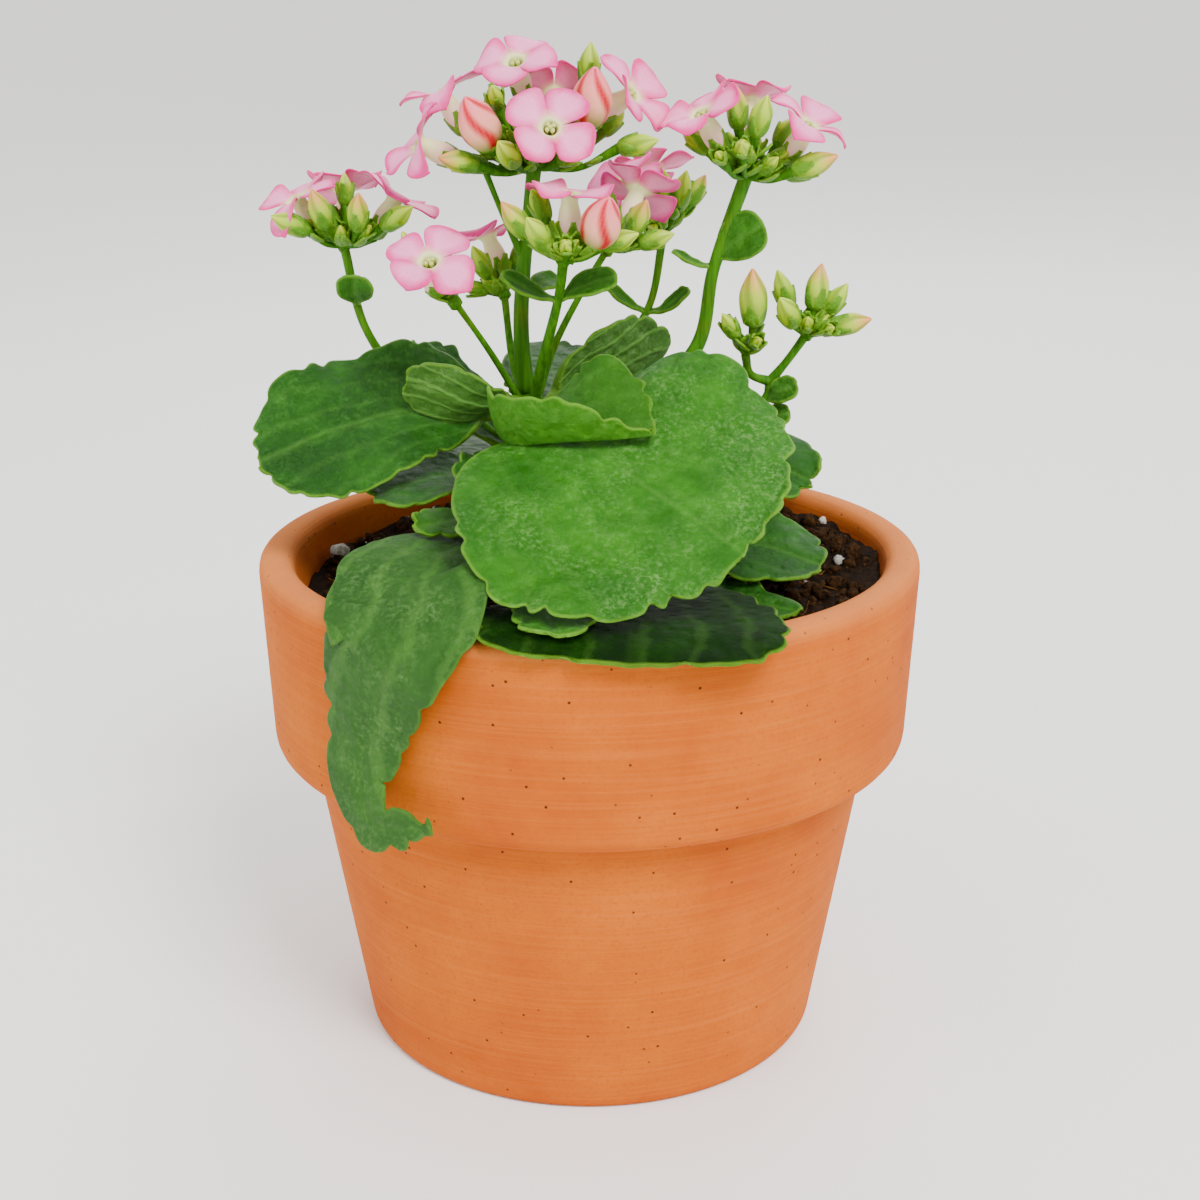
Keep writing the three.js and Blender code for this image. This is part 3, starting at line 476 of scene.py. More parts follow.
@dataclass(frozen=True)
class LeafSkin(Finish):
    """The skin of a succulent leaf: a waxy cuticle over thick green flesh, satin above, dull and paler below.

    Pale frosty specks, painted highlights on its pebbles, mottle its upper side, the veins fan out from its
    foot, and its margin is yellow-green.
    """

    name: str
    green: str
    deep: str
    # The colour of the painted highlights on the skin's pebbles, which look like a frosty bloom.
    frost_highlight: str
    margin: str = "#7db02c"
    vein: str = "#62983a"
    frost_highlight_amount: float = 0.5
    stripes: float = 0.08
    rib: float = 0.2
    # How dark the painted shade in the valleys between the skin's pebbles is.
    pebble_shade: float = 0.5
    roughness: float = 0.42
    ior: float = 1.45
    gloss: float = 0.18
    glow: float = 0.12
    glow_reach: Point = (0.4, 1.0, 0.2)

    def material(self) -> bpy.types.Material:
        """Makes the material."""
        material, add, shader = new_material(self.name)
        here = add("TexCoord", out="Object")
        # "leaf_place" holds millimetres across from the midrib, along it, and in from the margin.
        spot = add("Attribute", out="Vector", attribute_name="leaf_place")
        across, along, inward = add("SeparateXYZ", {0: spot}).node.outputs
        cloud = add("TexNoise", {"Vector": here, "Scale": 110.0, "Detail": 4, "Roughness": 0.6})
        tone = add("MapRange", {"Value": cloud, "From Min": 0.35, "From Max": 0.65})
        # Fine pale frosty specks, gathered in patches: painted highlights on the skin's pebbles.
        fine = add("TexNoise", {"Vector": here, "Scale": 1400.0, "Detail": 6, "Roughness": 0.7})
        specks = add("MapRange", {"Value": fine, "From Min": 0.47, "From Max": 0.63})
        patch = add("TexNoise", {"Vector": here, "Scale": 75.0, "Detail": 3})
        most = self.frost_highlight_amount
        patches = add("MapRange", {"Value": patch, "From Min": 0.36, "From Max": 0.62, "To Max": most})
        bloom_highlight = add("Math", {0: specks, 1: patches}, operation="MULTIPLY")
        # Pebbles of the skin, about 2 mm apart, with painted shade in the valleys between them.
        cells = add("TexVoronoi", {"Vector": here, "Scale": 520.0}, feature="SMOOTH_F1")
        valley_shade = add("MapRange", {"Value": cells, "From Min": 0.25, "From Max": 0.65, "To Max": self.pebble_shade})
        # Veins fan out from the leaf's foot: lines of even angle about a point below the blade.
        reach = add("Math", {0: along, 1: 6.0}, operation="ADD")
        angle = add("Math", {0: across, 1: reach}, operation="ARCTAN2")
        wander = add("Math", {0: cloud, 1: 0.12, 2: angle}, operation="MULTIPLY_ADD")
        turns = add("Math", {0: wander, 1: 52.0}, operation="MULTIPLY")
        wave = add("Math", {0: turns}, operation="SINE")
        lines = add("MapRange", {"Value": wave, "From Min": 0.55, "From Max": 1.0, "To Max": self.stripes})
        # The midrib, about 1.2 mm wide, and the margin's line, just under a millimetre.
        off = add("Math", {0: across}, operation="ABSOLUTE")
        most = self.rib
        rib = add("MapRange", {"Value": off, "From Min": 0.1, "From Max": 0.8, "To Min": most, "To Max": 0})
        band = {"From Min": 0.05, "From Max": 0.6, "To Min": 0.45, "To Max": 0}
        edge = add("MapRange", {"Value": inward, **band})
        height = add("Math", {0: fine, 1: 0.5, 2: cells}, operation="MULTIPLY_ADD")
        grooved = add("Math", {0: lines, 1: 0.5, 2: height}, operation="MULTIPLY_ADD")
        dull = add("MapRange", {"Value": bloom_highlight, "To Min": self.roughness, "To Max": self.roughness + 0.35})
        layers = [
            (tone, self.green), (bloom_highlight, self.frost_highlight), (valley_shade, self.deep),
            (lines, self.vein), (rib, self.vein), (edge, self.margin),
        ]
        self.dress(add, shader, self.deep, layers, (grooved, 0.9, 0.0012), dull)
        return material


class LeafTone(Enum):
    """The greens of the leaves: each has the skin of its upper side and that of its under side."""

    BROAD = (
        LeafSkin("leaf_skin_broad", "#367b10", "#1f5b07", "#84b263", frost_highlight_amount=0.48),
        LeafSkin("leaf_skin_under_pale", "#4d7a26", "#386319", "#7d9f60", stripes=0.35, roughness=0.6),
    )
    DEEP = (
        LeafSkin("leaf_skin_deep", "#24600d", "#124305", "#578c3c", frost_highlight_amount=0.35),
        LeafSkin("leaf_skin_under_grey", "#477826", "#335f17", "#7d9c60", stripes=0.5, roughness=0.6),
    )
    BRIGHT = (
        LeafSkin("leaf_skin_bright", "#316d08", "#225704", "#67963c", frost_highlight_amount=0.3),
        LeafSkin("leaf_skin_under_bright", "#3f8008", "#2d6a05", "#6fa03c", stripes=0.1, roughness=0.5),
    )
    DULL = (
        LeafSkin(
            "leaf_skin_dull", "#316119", "#224e12", "#6a9052", "#557f2a",
            stripes=0.2, rib=0.05, roughness=0.5,
        ),
        LeafSkin("leaf_skin_under_dull", "#486c33", "#335721", "#738f60", stripes=0.5, roughness=0.62),
    )
    # A leaf that lies in shade: both its skins are painted in darker greens, painted shade.
    GLOSSY = (
        LeafSkin("leaf_skin_painted_shade", "#103501", "#051e01", "#2a5614", frost_highlight_amount=0.1, rib=0.03, gloss=0.06),
        LeafSkin("leaf_skin_under_shaded", "#355c1e", "#22450f", "#5f7d48", stripes=0.5, roughness=0.55),
    )
    SEPAL = (
        LeafSkin("sepal_skin", "#5f9210", "#43780a", "#8db044", margin="#86b22a", frost_highlight_amount=0.15),
        LeafSkin("sepal_skin_outer", "#6c9e12", "#4e850b", "#9abc48", margin="#93bd30", frost_highlight_amount=0.15),
    )


@dataclass(frozen=True)
class StalkSkin(Finish):
    """The skin of a young succulent stalk: smooth, a little waxy, green with faint lengthwise streaks."""

    name: str = "stalk_skin"
    green: str = "#427a05"
    deep: str = "#2a5e01"
    blush: str = "#6b5a12"
    roughness: float = 0.55
    ior: float = 1.45
    gloss: float = 0.15
    glow: float = 0.15
    glow_reach: Point = (0.5, 1.0, 0.25)

    def material(self) -> bpy.types.Material:
        """Makes the material."""
        material, add, shader = new_material(self.name)
        here = add("TexCoord", out="Object")
        drawn = add("Mapping", {"Vector": here, "Scale": (1400, 1400, 90)})
        streak = add("TexNoise", {"Vector": drawn, "Scale": 1.0, "Detail": 3})
        tone = add("MapRange", {"Value": streak, "From Min": 0.35, "From Max": 0.65})
        cloud = add("TexNoise", {"Vector": here, "Scale": 90.0, "Detail": 3})
        warm = add("MapRange", {"Value": cloud, "From Min": 0.55, "From Max": 0.75, "To Max": 0.35})
        self.dress(add, shader, self.deep, [(tone, self.green), (warm, self.blush)], (streak, 0.25, 0.0003))
        return material


@dataclass(frozen=True)
class PetalSkin(Finish):
    """The skin of a petal: thin, soft and faintly sparkling, pale pink, and rosier at its edge."""

    name: str = "petal_skin"
    pale: str = "#ff96c4"
    rose: str = "#de2f85"
    throat: str = "#e6efa6"
    vein: str = "#dd5c9c"
    roughness: float = 0.5
    ior: float = 1.4
    gloss: float = 0.2
    glow: float = 0.25
    glow_reach: Point = (1.0, 0.6, 0.7)

    def material(self) -> bpy.types.Material:
        """Makes the material."""
        material, add, shader = new_material(self.name)
        here = add("TexCoord", out="Object")
        # "petal_place" holds millimetres out from the throat, across the petal, and in from its edge.
        spot = add("Attribute", out="Vector", attribute_name="petal_place")
        out, across, inward = add("SeparateXYZ", {0: spot}).node.outputs
        cloud = add("TexNoise", {"Vector": here, "Scale": 260.0, "Detail": 4})
        rim = add("MapRange", {"Value": inward, "From Min": 0, "From Max": 2.2, "To Min": 1, "To Max": 0})
        mottle = add("Math", {0: cloud, 1: 1.8}, operation="MULTIPLY")
        blush = add("Math", {0: rim, 1: mottle}, operation="MULTIPLY")
        far = add("MapRange", {"Value": out, "From Min": 2.5, "From Max": 8.5, "To Max": 0.35})
        rosy = add("Math", {0: blush, 1: far}, operation="ADD", use_clamp=True)
        ratio = add("Math", {0: across, 1: out}, operation="ARCTAN2")
        turns = add("Math", {0: ratio, 1: 42.0}, operation="MULTIPLY")
        wave = add("Math", {0: turns}, operation="SINE")
        lines = add("MapRange", {"Value": wave, "From Min": 0.5, "From Max": 1.0, "To Max": 0.16})
        near = add("MapRange", {"Value": out, "From Min": 0.8, "From Max": 2.7, "To Min": 0.9, "To Max": 0})
        layers = [(rosy, self.rose), (lines, self.vein), (near, self.throat)]
        self.dress(add, shader, self.pale, layers, (lines, 0.3, 0.0002))
        return material


@dataclass(frozen=True)
class BudSkin(Finish):
    """The skin of a closed bud: smooth and tight, with four seams and a tip that colours as it opens."""

    name: str
    body: str = "#97ba16"
    foot: str = "#5f9208"
    tip: str = "#bccf38"
    seam: str = "#6b8a16"
    tip_from: float = 0.55
    seam_depth: float = 0.7
    roughness: float = 0.42
    ior: float = 1.43
    gloss: float = 0.3
    glow: float = 0.2
    glow_reach: Point = (0.8, 1.0, 0.3)

    def material(self) -> bpy.types.Material:
        """Makes the material."""
        material, add, shader = new_material(self.name)
        # "bud_place" holds the share of the way up and how far into a seam, and its third number is unused.
        spot = add("Attribute", out="Vector", attribute_name="bud_place")
        up, seam, _ = add("SeparateXYZ", {0: spot}).node.outputs
        low = add("MapRange", {"Value": up, "From Min": 0.05, "From Max": 0.5})
        high = add("MapRange", {"Value": up, "From Min": self.tip_from, "From Max": 0.95})
        cleft = add("MapRange", {"Value": seam, "From Min": 0.3, "From Max": 0.95, "To Max": self.seam_depth})
        here = add("TexCoord", out="Object")
        fine = add("TexNoise", {"Vector": here, "Scale": 1500.0, "Detail": 3})
        layers = [(low, self.body), (high, self.tip), (cleft, self.seam)]
        self.dress(add, shader, self.foot, layers, (fine, 0.12, 0.0002))
        return material


class BudStage(Enum):
    """How far a bud has come."""

    GREEN = BudSkin("bud_skin_green")
    TIPPED = BudSkin("bud_skin_tipped", tip="#e38d58", body="#a9c22b")
    OPENING = BudSkin(
        "bud_skin_opening", body="#f0bd92", tip="#ee6a7c", seam="#c00020", tip_from=0.2, seam_depth=1.0
    )


@dataclass(frozen=True)
class Grain(Finish):
    """A loose grain of the potting mix: crumbly peat or bark, or expanded perlite, dry and rough all over."""

    name: str
    dark: str
    light: str
    grit: float
    roughness: float = 0.92
    ior: float = 1.45
    gloss: float = 0.08

    def material(self) -> bpy.types.Material:
        """Makes the material."""
        material, add, shader = new_material(self.name)
        here = add("TexCoord", out="Object")
        fine = add("TexNoise", {"Vector": here, "Scale": 1000 / self.grit, "Detail": 6, "Roughness": 0.7})
        tone = add("MapRange", {"Value": fine, "From Min": 0.38, "From Max": 0.66})
        self.dress(add, shader, self.dark, [(tone, self.light)], (fine, 0.9, 0.0008))
        return material


# ---------------------------------------------------------------- pot and soil


@dataclass
class Pot:
    """The terracotta pot: a tapered body under a deep rim band, with a drain hole in its floor."""

    rim_wall: float = 5.6
    band_height: float = 34.0
    band_foot_radius: float = 55.5
    band_round: float = 3.2
    body_top_radius: float = 49.4
    base_radius: float = 40.6
    body_wall: float = 5.2
    floor_thickness: float = 6.0
    drain_radius: float = 6.0
    segments: int = 288
    ripple: float = 0.04  # how deep the wheel's lines are, in millimetres

    def __post_init__(self) -> None:
        """Takes the height and the rim's radius from the CAD pot."""
        low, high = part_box("pot")
        self.height = (high.z - low.z) / MM
        self.rim_radius = (high.x - low.x) / 2 / MM

    def side_radius(self, down: float) -> float:
        """The band's outer radius at a depth below the rim.

        Args:
            down: The depth, in millimetres.

        Returns:
            The radius, in millimetres.
        """
        share = min(max(down / self.band_height, 0.0), 1.0)
        return self.rim_radius + (self.band_foot_radius - self.rim_radius) * share

    def corners(self) -> list[tuple[float, float, float]]:
        """The profile's corners, each with its radius, its height and how far it is rounded."""
        foot = self.height - self.band_height
        inner = self.rim_radius - self.rim_wall
        waist = self.body_top_radius - self.body_wall
        return [
            (self.drain_radius, 0, 0.8),
            (self.base_radius, 0, 1.6),
            (self.body_top_radius, foot, 0.5),
            (self.band_foot_radius, foot, self.band_round),
            (self.rim_radius, self.height, 2.6),
            (inner, self.height, 2.4),
            (waist, foot, 2.0),
            (self.base_radius - self.body_wall, self.floor_thickness, 2.0),
            (self.drain_radius, self.floor_thickness, 1.2),
        ]

    def profile(self) -> np.ndarray:
        """The closed profile, with its corners rounded and its straight runs cut into short steps."""
        corners = self.corners()
        points: list[np.ndarray] = []
        for k, (radius, height, rounding) in enumerate(corners):
            here = np.array((radius, height))
            before = np.array(corners[k - 1][:2]) - here
            after = np.array(corners[(k + 1) % len(corners)][:2]) - here
            before /= np.linalg.norm(before)
            after /= np.linalg.norm(after)
            for share in np.linspace(0, 1, 7):
                points.append(here + before * rounding * (1 - share) ** 2 + after * rounding * share**2)
        outline = np.array(points)
        steps = []
        for a, b in zip(outline, np.roll(outline, -1, axis=0)):
            count = max(1, int(np.linalg.norm(b - a) / 0.9))
            steps.extend(a + (b - a) * i / count for i in range(count))
        return np.array(steps)

    def build(self, clay: bpy.types.Material) -> bpy.types.Object:
        """Builds the pot.

        Args:
            clay: Its material.

        Returns:
            The pot.
        """
        out, up = self.profile().T
        outside = (out > self.body_top_radius - 1) | (up < self.height - self.band_height)
        # The wheel's lines: a fine ripple down the side, the same all the way round but for a slow drift.
        levels = rough(np.stack([out * 0, out * 0, up], 1), 1.6)
        rings = []
        for angle in np.linspace(0, 2 * math.pi, self.segments, endpoint=False):
            drift = noise.noise(Vector((math.cos(angle), math.sin(angle), 0.0)) * 1.3)
            edge = 0.12 * drift * np.clip(up / self.height, 0, 1) * (up > 1)
            radius = out - self.ripple * (1 + levels) * (up > 0.5) - np.abs(edge)
            rings.append(np.stack([radius * math.cos(angle), radius * math.sin(angle), up], 1))
        inside = ~outside & (up > self.floor_thickness)
        # Painted light: the clay inside the rim, fading in below it, and a little of the lip are painted
        # paler, as if more light fell there.
        depth = np.clip((self.height - 1 - up) / 4, 0, 1) * inside
        lip = 0.3 * np.clip((up - self.height + 3) / 3, 0, 1)
        chalk = np.tile(np.stack([np.maximum(0.8 * depth, lip)] * 3, 1), (self.segments, 1))
        count = len(up)
        faces = []
        for i in range(self.segments):
            k = (i + 1) % self.segments
            for j in range(count):
                m = (j + 1) % count
                faces.append((i * count + j, k * count + j, k * count + m, i * count + m))
        maker = MeshMaker()
        maker.add(np.array(rings).reshape(-1, 3), faces, chalk=chalk)
        return place(maker.build("terracotta_pot", [clay]), "pot", "pot")


@dataclass
class Soil:
    """The potting mix: dark peat with crumbs, bark fibres and white perlite, heaped unevenly in the pot."""

    pot: Pot
    wall_gap: float = 0.3
    sunk: float = 0.9  # how far the bed's level lies below the CAD soil's top, in millimetres
    crumbs: int = 2400
    perlite: int = 150
    fibres: int = 260
    heap: tuple[float, float] = (-1.2, 3.6)  # how low and how high its slope goes, against its level
    # The largest pieces of perlite, each with its place across and along and its radius.
    boulders: tuple[Point, ...] = (
        (-45.3, 12.5, 2.5), (-43.5, 5.5, 0.9), (-40, 1, 0.8), (43, 21.5, 1.2), (40.3, 5, 1.2), (43.7, 1, 1.4),
        (35.2, -27.8, 1.2), (37.3, -27.4, 1.1),
    )
    seed: int = 5

    def __post_init__(self) -> None:
        """Takes the soil's level and reach from its CAD node."""
        low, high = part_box("soil")
        self.level = high.z / MM - self.sunk
        self.bottom = low.z / MM
        self.reach = high.x / MM
        self.random = random.Random(self.seed)

    def height_at(self, x: float, y: float) -> float:
        """The height of the soil's surface.

        Args:
            x: Where, in millimetres.
            y: Where, in millimetres.

        Returns:
            The height, in millimetres.
        """
        here = Vector((x, y, 0.0))
        # Clods about 9, 3.5 and 1.5 mm wide, on a heap that rises to the right and towards the back.
        lumps = 1.1 * noise.noise(here / 9) + 0.9 * noise.noise(here / 3.5) + 0.5 * noise.noise(here / 1.5)
        slope = 1.0 + 2.2 * x / 50 + 1.5 * y / 25
        lowest, highest = self.heap
        return self.level + lumps + min(max(slope, lowest), highest) * min(math.hypot(x, y) / 40, 1.0)

    def wall_at(self, height: float) -> float:
        """How far out the bed reaches at a height, in millimetres."""
        inner = self.pot.rim_radius - self.pot.rim_wall
        waist = self.pot.body_top_radius - self.pot.body_wall
        share = (self.pot.height - height) / self.pot.band_height
        return inner + (waist - inner) * share - self.wall_gap

    def bed(self, peat: bpy.types.Material) -> bpy.types.Object:
        """Builds the bed: a lumpy top over a plug that fills the pot.

        Args:
            peat: Its material.

        Returns:
            The bed.
        """
        sectors, circles = 200, 64
        angles = np.linspace(0, 2 * math.pi, sectors, endpoint=False)
        foot = self.pot.height - self.pot.band_height
        waist = self.pot.body_top_radius - self.pot.body_wall - self.wall_gap
        base = self.pot.base_radius - self.pot.body_wall - self.wall_gap
        rings = []
        for radius, height in ((base, self.bottom), (waist, foot), (self.reach - 0.7, self.level - 3.5)):
            rings.append(np.stack([radius * np.cos(angles), radius * np.sin(angles), angles * 0 + height], 1))
        rim = zip(self.reach * np.cos(angles), self.reach * np.sin(angles))
        edge = np.array([self.wall_at(self.height_at(x, y)) for x, y in rim])
        for i in range(circles):
            xs, ys = edge * (1 - i / circles) * np.cos(angles), edge * (1 - i / circles) * np.sin(angles)
            rings.append(np.stack([xs, ys, [self.height_at(x, y) for x, y in zip(xs, ys)]], 1))
        maker = MeshMaker()
        maker.add(*rings_to_solid(np.array(rings)))
        return place(maker.build("soil_bed", [peat]), "soil", "soil")

    def lump(self, maker: MeshMaker, size: float, at: Point, stretch: Point) -> None:
        """Adds one crumb: a small stone-like lump.

        Args:
            maker: What it is added to.
            size: Its radius, in millimetres.
            at: Its middle.
            stretch: How long it is along each axis, against its radius.
        """
        ball = bmesh.new()
        bmesh.ops.create_icosphere(ball, subdivisions=2, radius=1)
        points = np.array([v.co for v in ball.verts])
        faces = [[v.index for v in face.verts] for face in ball.faces]
        ball.free()
        seed = self.random.random() * 50
        points *= (1 + 0.5 * rough(points * 2.2, 1.5, seed))[:, None]
        turn = turned_to([self.random.uniform(-1, 1) for _ in range(3)], self.random.uniform(0, 360))
        maker.add((points * size * np.array(stretch)) @ turn.T + np.array(at), faces)

    def spot(self, margin: float) -> tuple[float, float]:
        """Picks a place on the soil's surface.

        Args:
            margin: How far in from the wall it stays, in millimetres.

        Returns:
            The place.
        """
        radius = (self.reach - margin) * math.sqrt(self.random.random())
        angle = self.random.uniform(0, 2 * math.pi)
        return radius * math.cos(angle), radius * math.sin(angle)

    def scatter(
        self,
        name: str,
        count: int,
        sizes: tuple[float, float],
        grain: bpy.types.Material,
        boulders: Iterable[Point] = (),
    ) -> None:
        """Strews lumps over the bed.

        Args:
            name: The piece's name.
            count: How many lumps.
            sizes: The smallest and largest radius, in millimetres.
            grain: Their material.
            boulders: Larger lumps, each with its place across and along and its radius.
        """
        maker = MeshMaker()
        for x, y, size in boulders:
            self.lump(maker, 0.85 * size, (x, y, self.height_at(x, y) + 0.2 * size), (1, 0.85, 0.8))
        for _ in range(count):
            size = sizes[0] + (sizes[1] - sizes[0]) * self.random.random() ** 2.2
            x, y = self.spot(1.2 + size)
            stretch = (1, self.random.uniform(0.6, 1), self.random.uniform(0.5, 0.9))
            self.lump(maker, size, (x, y, self.height_at(x, y) + 0.25 * size), stretch)
        place(maker.build(name, [grain]), "soil")

    def strew_fibres(self, bark: bpy.types.Material) -> None:
        """Strews short fibres over the bed.

        Args:
            bark: Their material.
        """
        maker = MeshMaker()
        for _ in range(self.fibres):
            x, y = self.spot(8)
            angle, length = self.random.uniform(0, math.tau), self.random.uniform(2.5, 7)
            route = []
            for k in range(4):
                px = x + math.cos(angle) * length * k / 3 + self.random.uniform(-0.5, 0.5)
                py = y + math.sin(angle) * length * k / 3 + self.random.uniform(-0.5, 0.5)
                route.append((px, py, self.height_at(px, py) + self.random.uniform(0.2, 0.9)))
            maker.add(*tube(route, [0.1, 0.16, 0.08], sides=5, step=0.8))
        place(maker.build("soil_fibres", [bark]), "soil")

    def build(self) -> None:
        """Builds the bed and what is strewn on it."""
        peat = Grain("potting_peat", "#0b0602", "#2a1a0c", grit=1.6).material()
        crumb = Grain("peat_crumbs", "#110904", "#4a3018", grit=0.9).material()
        white = Grain("expanded_perlite", "#a09b90", "#dedad0", grit=0.7).material()
        bark = Grain("bark_fibre", "#3a200a", "#7f5426", grit=1.2).material()
        self.bed(peat)
        self.scatter("soil_crumbs", self.crumbs, (0.35, 1.7), crumb)
        self.scatter("soil_perlite", self.perlite, (0.4, 1.5), white, self.boulders)
        self.strew_fibres(bark)


# ---------------------------------------------------------------- plant


@dataclass
class Neck:
    """Where the plant's own heights start: below the rim, on the pot's axis."""

    pot: Pot
    drop: float = 9.5
    leaf_thickness: float = 1.1

    @property
    def level(self) -> float:
        """The neck's height above the ground."""
        return self.pot.height - self.drop

    def lift(self, points: Iterable[Point]) -> list[Point]:
        """Moves points from the plant's heights to heights above the ground."""
        return [(x, y, z + self.level) for x, y, z in points]

    def over_rim(self, angle: float, out: float, up: float, layer: int = 0) -> Point:
        """A point for a leaf that lies over the rim, hangs outside it or stops inside it.

        Args:
            angle: Its angle round the pot from the front, in degrees.
            out: How far the leaf's near face is out from the pot's side there.
            up: How far the leaf's near face is up from the rim.
            layer: One more for each leaf that it lies on.

        Returns:
            The point, in the plant's heights.
        """
        radius = self.pot.side_radius(-up) + out + self.leaf_thickness / 2
        turn = math.radians(angle)
        height = self.drop + up + (layer + 0.5) * self.leaf_thickness
        return radius * math.sin(turn), -radius * math.cos(turn), height


@dataclass
class Leaf:
    """One leaf: a thick blade with a scalloped margin, on a petiole.

    The midrib runs through rib, and faces are the ways its upper side looks along it. Each half of it, left
    of the midrib and right of it, has its share of the width, the angle that it is folded up by at the
    midrib, the angle that it bends up by from there to its margin, and swells, which widen or narrow it.
    """

    name: str
    rib: Sequence[Point]
    faces: Sequence[Point]
    width: float
    tone: LeafTone = LeafTone.DEEP
    halves: tuple[float, float] = (1.0, 1.0)
    bends: tuple[float, float] = (12.0, 12.0)
    folds: tuple[float, float] = (0.0, 0.0)
    petiole: float = 0.2
    taper: tuple[float, float] = (0.6, 0.35)
    tooth: float = 6.0
    tooth_depth: float = 1.5
    wave: float = 0.9
    sag: float = 0.7
    swells: tuple[Sequence[float], Sequence[float]] = ((1.0, 1.0), (1.0, 1.0))
    petiole_width: float = 2.6
    thickness: float = 1.1
    petiole_thickness: float = 2.2
    groove_depth: float = 0.28
    groove_width: float = 0.9
    rows: int = 88
    half_columns: int = 12

    def half_width(self, shares: np.ndarray) -> np.ndarray:
        """Half the blade's width at places along it, without its scallops, in millimetres."""
        base, tip = self.taper
        widest = base / (base + tip)
        along = np.clip((shares - self.petiole) / (1 - self.petiole), 0, 0.9995)
        outline = (along / widest) ** base * ((1 - along) / (1 - widest)) ** tip
        return np.maximum(self.petiole_width / 2, self.width / 2 * outline)

    def shares(self) -> np.ndarray:
        """Places along the leaf, closer together towards its tip, where the margin turns."""
        even = np.linspace(0, 1, self.rows)
        return 1 - (1 - even) ** 1.7 - 0.0005 * even

    def scallops(self, run: np.ndarray, phase: float) -> np.ndarray:
        """How far the margin is cut back by its scallops, in millimetres.

        Args:
            run: Places along the margin, in millimetres.
            phase: Where the first tooth starts, as a share of a tooth.

        Returns:
            The cut at each place.
        """
        turns = run / self.tooth
        # The teeth drift in length and in depth, so that no two are the same.
        jitter = 0.28 * np.sin(turns * 1.9 + phase * 9) + 0.16 * np.sin(turns * 4.3 + phase)
        lobe = np.abs(np.sin(math.pi * (turns + phase + jitter)))
        uneven = 0.8 + 0.35 * np.sin(turns * 2.3 + phase * 5)
        return self.tooth_depth * uneven * (1 - lobe**0.75)

    def cut_margin(self, flat: np.ndarray, across: np.ndarray, grow: np.ndarray, phase: float) -> np.ndarray:
        """Draws the flat blade's points in from its margin where a scallop is cut, all round its tip too.

        Args:
            flat: The points by row and column, in millimetres across and along.
            across: Each column's share of the way from the midrib to the margin, from -1 to 1.
            grow: How much of its depth a scallop has at each row.
            phase: Where the first tooth starts, as a share of a tooth.

        Returns:
            The distance in from the uncut margin of each point, which are moved in place.
        """
        line = np.vstack([flat[:, 0], flat[::-1, -1]])
        run = np.concatenate([[0], np.cumsum(np.linalg.norm(np.diff(line, axis=0), axis=1))])
        steps = np.arange(0, run[-1], 0.3)
        depth = np.interp(steps, run, np.concatenate([grow, grow[::-1]])) * self.scallops(steps, phase)
        line = np.stack([np.interp(steps, run, line[:, k]) for k in range(2)], 1)
        way = np.gradient(line, axis=0)
        way /= np.linalg.norm(way, axis=1)[:, None]
        gaps = np.linalg.norm(flat[:, :, None] - line[None, None], axis=3)
        nearest, inward = gaps.argmin(2), gaps.min(2)
        wide = np.abs(flat[:, [0, -1], 0]).max(1)[:, None]
        cut = depth[nearest] * np.clip(1 - inward / wide.max(), 0, 1) ** 2
        near_tip = np.clip(1 - wide / 8, 0, 1)
        out = np.abs(across)[None]
        # Across, the midrib stays where it is, and along, only the tip draws it back.
        flat[:, :, 0] += way[nearest, 1] * cut * out
        flat[:, :, 1] -= way[nearest, 0] * cut * (out + (1 - out) * near_tip)
        return inward

    def surface(self) -> tuple[np.ndarray, np.ndarray]:
        """The blade's middle surface, and each of its points' place on the leaf.

        Returns:
            The points by row and column, and for each the millimetres across, along and in from the margin.
        """
        shares = self.shares()
        fine, heading = smooth_curve(self.rib, 400)
        even = np.linspace(0, 1, 400)
        length = float(np.linalg.norm(np.diff(fine, axis=0), axis=1).sum())
        seed = sum(map(ord, self.name)) % 97
        grow = np.clip((shares - self.petiole - 0.04) / 0.12, 0, 1)
        across = np.linspace(-1, 1, 2 * self.half_columns + 1)
        wides = []
        for k in range(2):
            swell = np.interp(shares, np.linspace(0, 1, len(self.swells[k])), self.swells[k])
            wides.append(np.maximum(self.half_width(shares) * self.halves[k] * swell, self.petiole_width / 2))
        half = (across > 0).astype(int)
        sign = np.where(half, 1, -1)
        flat_x = np.where(half, wides[1][:, None], wides[0][:, None]) * across
        flat = np.stack([flat_x, np.outer(shares * length, np.ones_like(across))], 2)
        inward = np.stack(wides)[half].T * (1 - np.abs(across))
        if self.tooth_depth:
            inward = self.cut_margin(flat, across, grow, 0.13 * seed)
        places = np.clip(flat[:, :, 1] / length, 0, 1)
        at = partial(np.interp, places)
        centre = np.stack([at(even, fine[:, k]) for k in range(3)], 2)
        tangent = np.stack([at(even, heading[:, k]) for k in range(3)], 2)
        tangent /= np.linalg.norm(tangent, axis=2)[:, :, None]
        given = spread_faces(self.faces, shares)
        face = np.stack([at(shares, given[:, k]) for k in range(3)], 2)
        face -= tangent * (face * tangent).sum(2)[:, :, None]
        face /= np.linalg.norm(face, axis=2)[:, :, None]
        side = np.cross(tangent, face)
        out = np.maximum(sign * flat[:, :, 0], 0)
        wide = np.maximum(np.where(half, at(shares, wides[1]), at(shares, wides[0])), out)
        bend = np.radians(np.array(self.bends))[half]
        fold = np.radians(np.array(self.folds))[half]
        share = out / wide
        turn = fold + bend * share
        grown = at(shares, grow)
        wave = self.wave * np.sin(2 * math.pi * places * (2.3 + 0.4 * half) + seed) * grown
        reach = wide / bend * (np.sin(turn) - np.sin(fold)) * sign
        rise = wide / bend * (np.cos(fold) - np.cos(turn)) + wave * share**2.5
        rise -= self.groove_depth * np.exp(-((out / self.groove_width) ** 2)) * grown
        points = centre + side * reach[:, :, None] + face * rise[:, :, None]
        if self.sag or self.wave:
            spots = points.reshape(-1, 3)
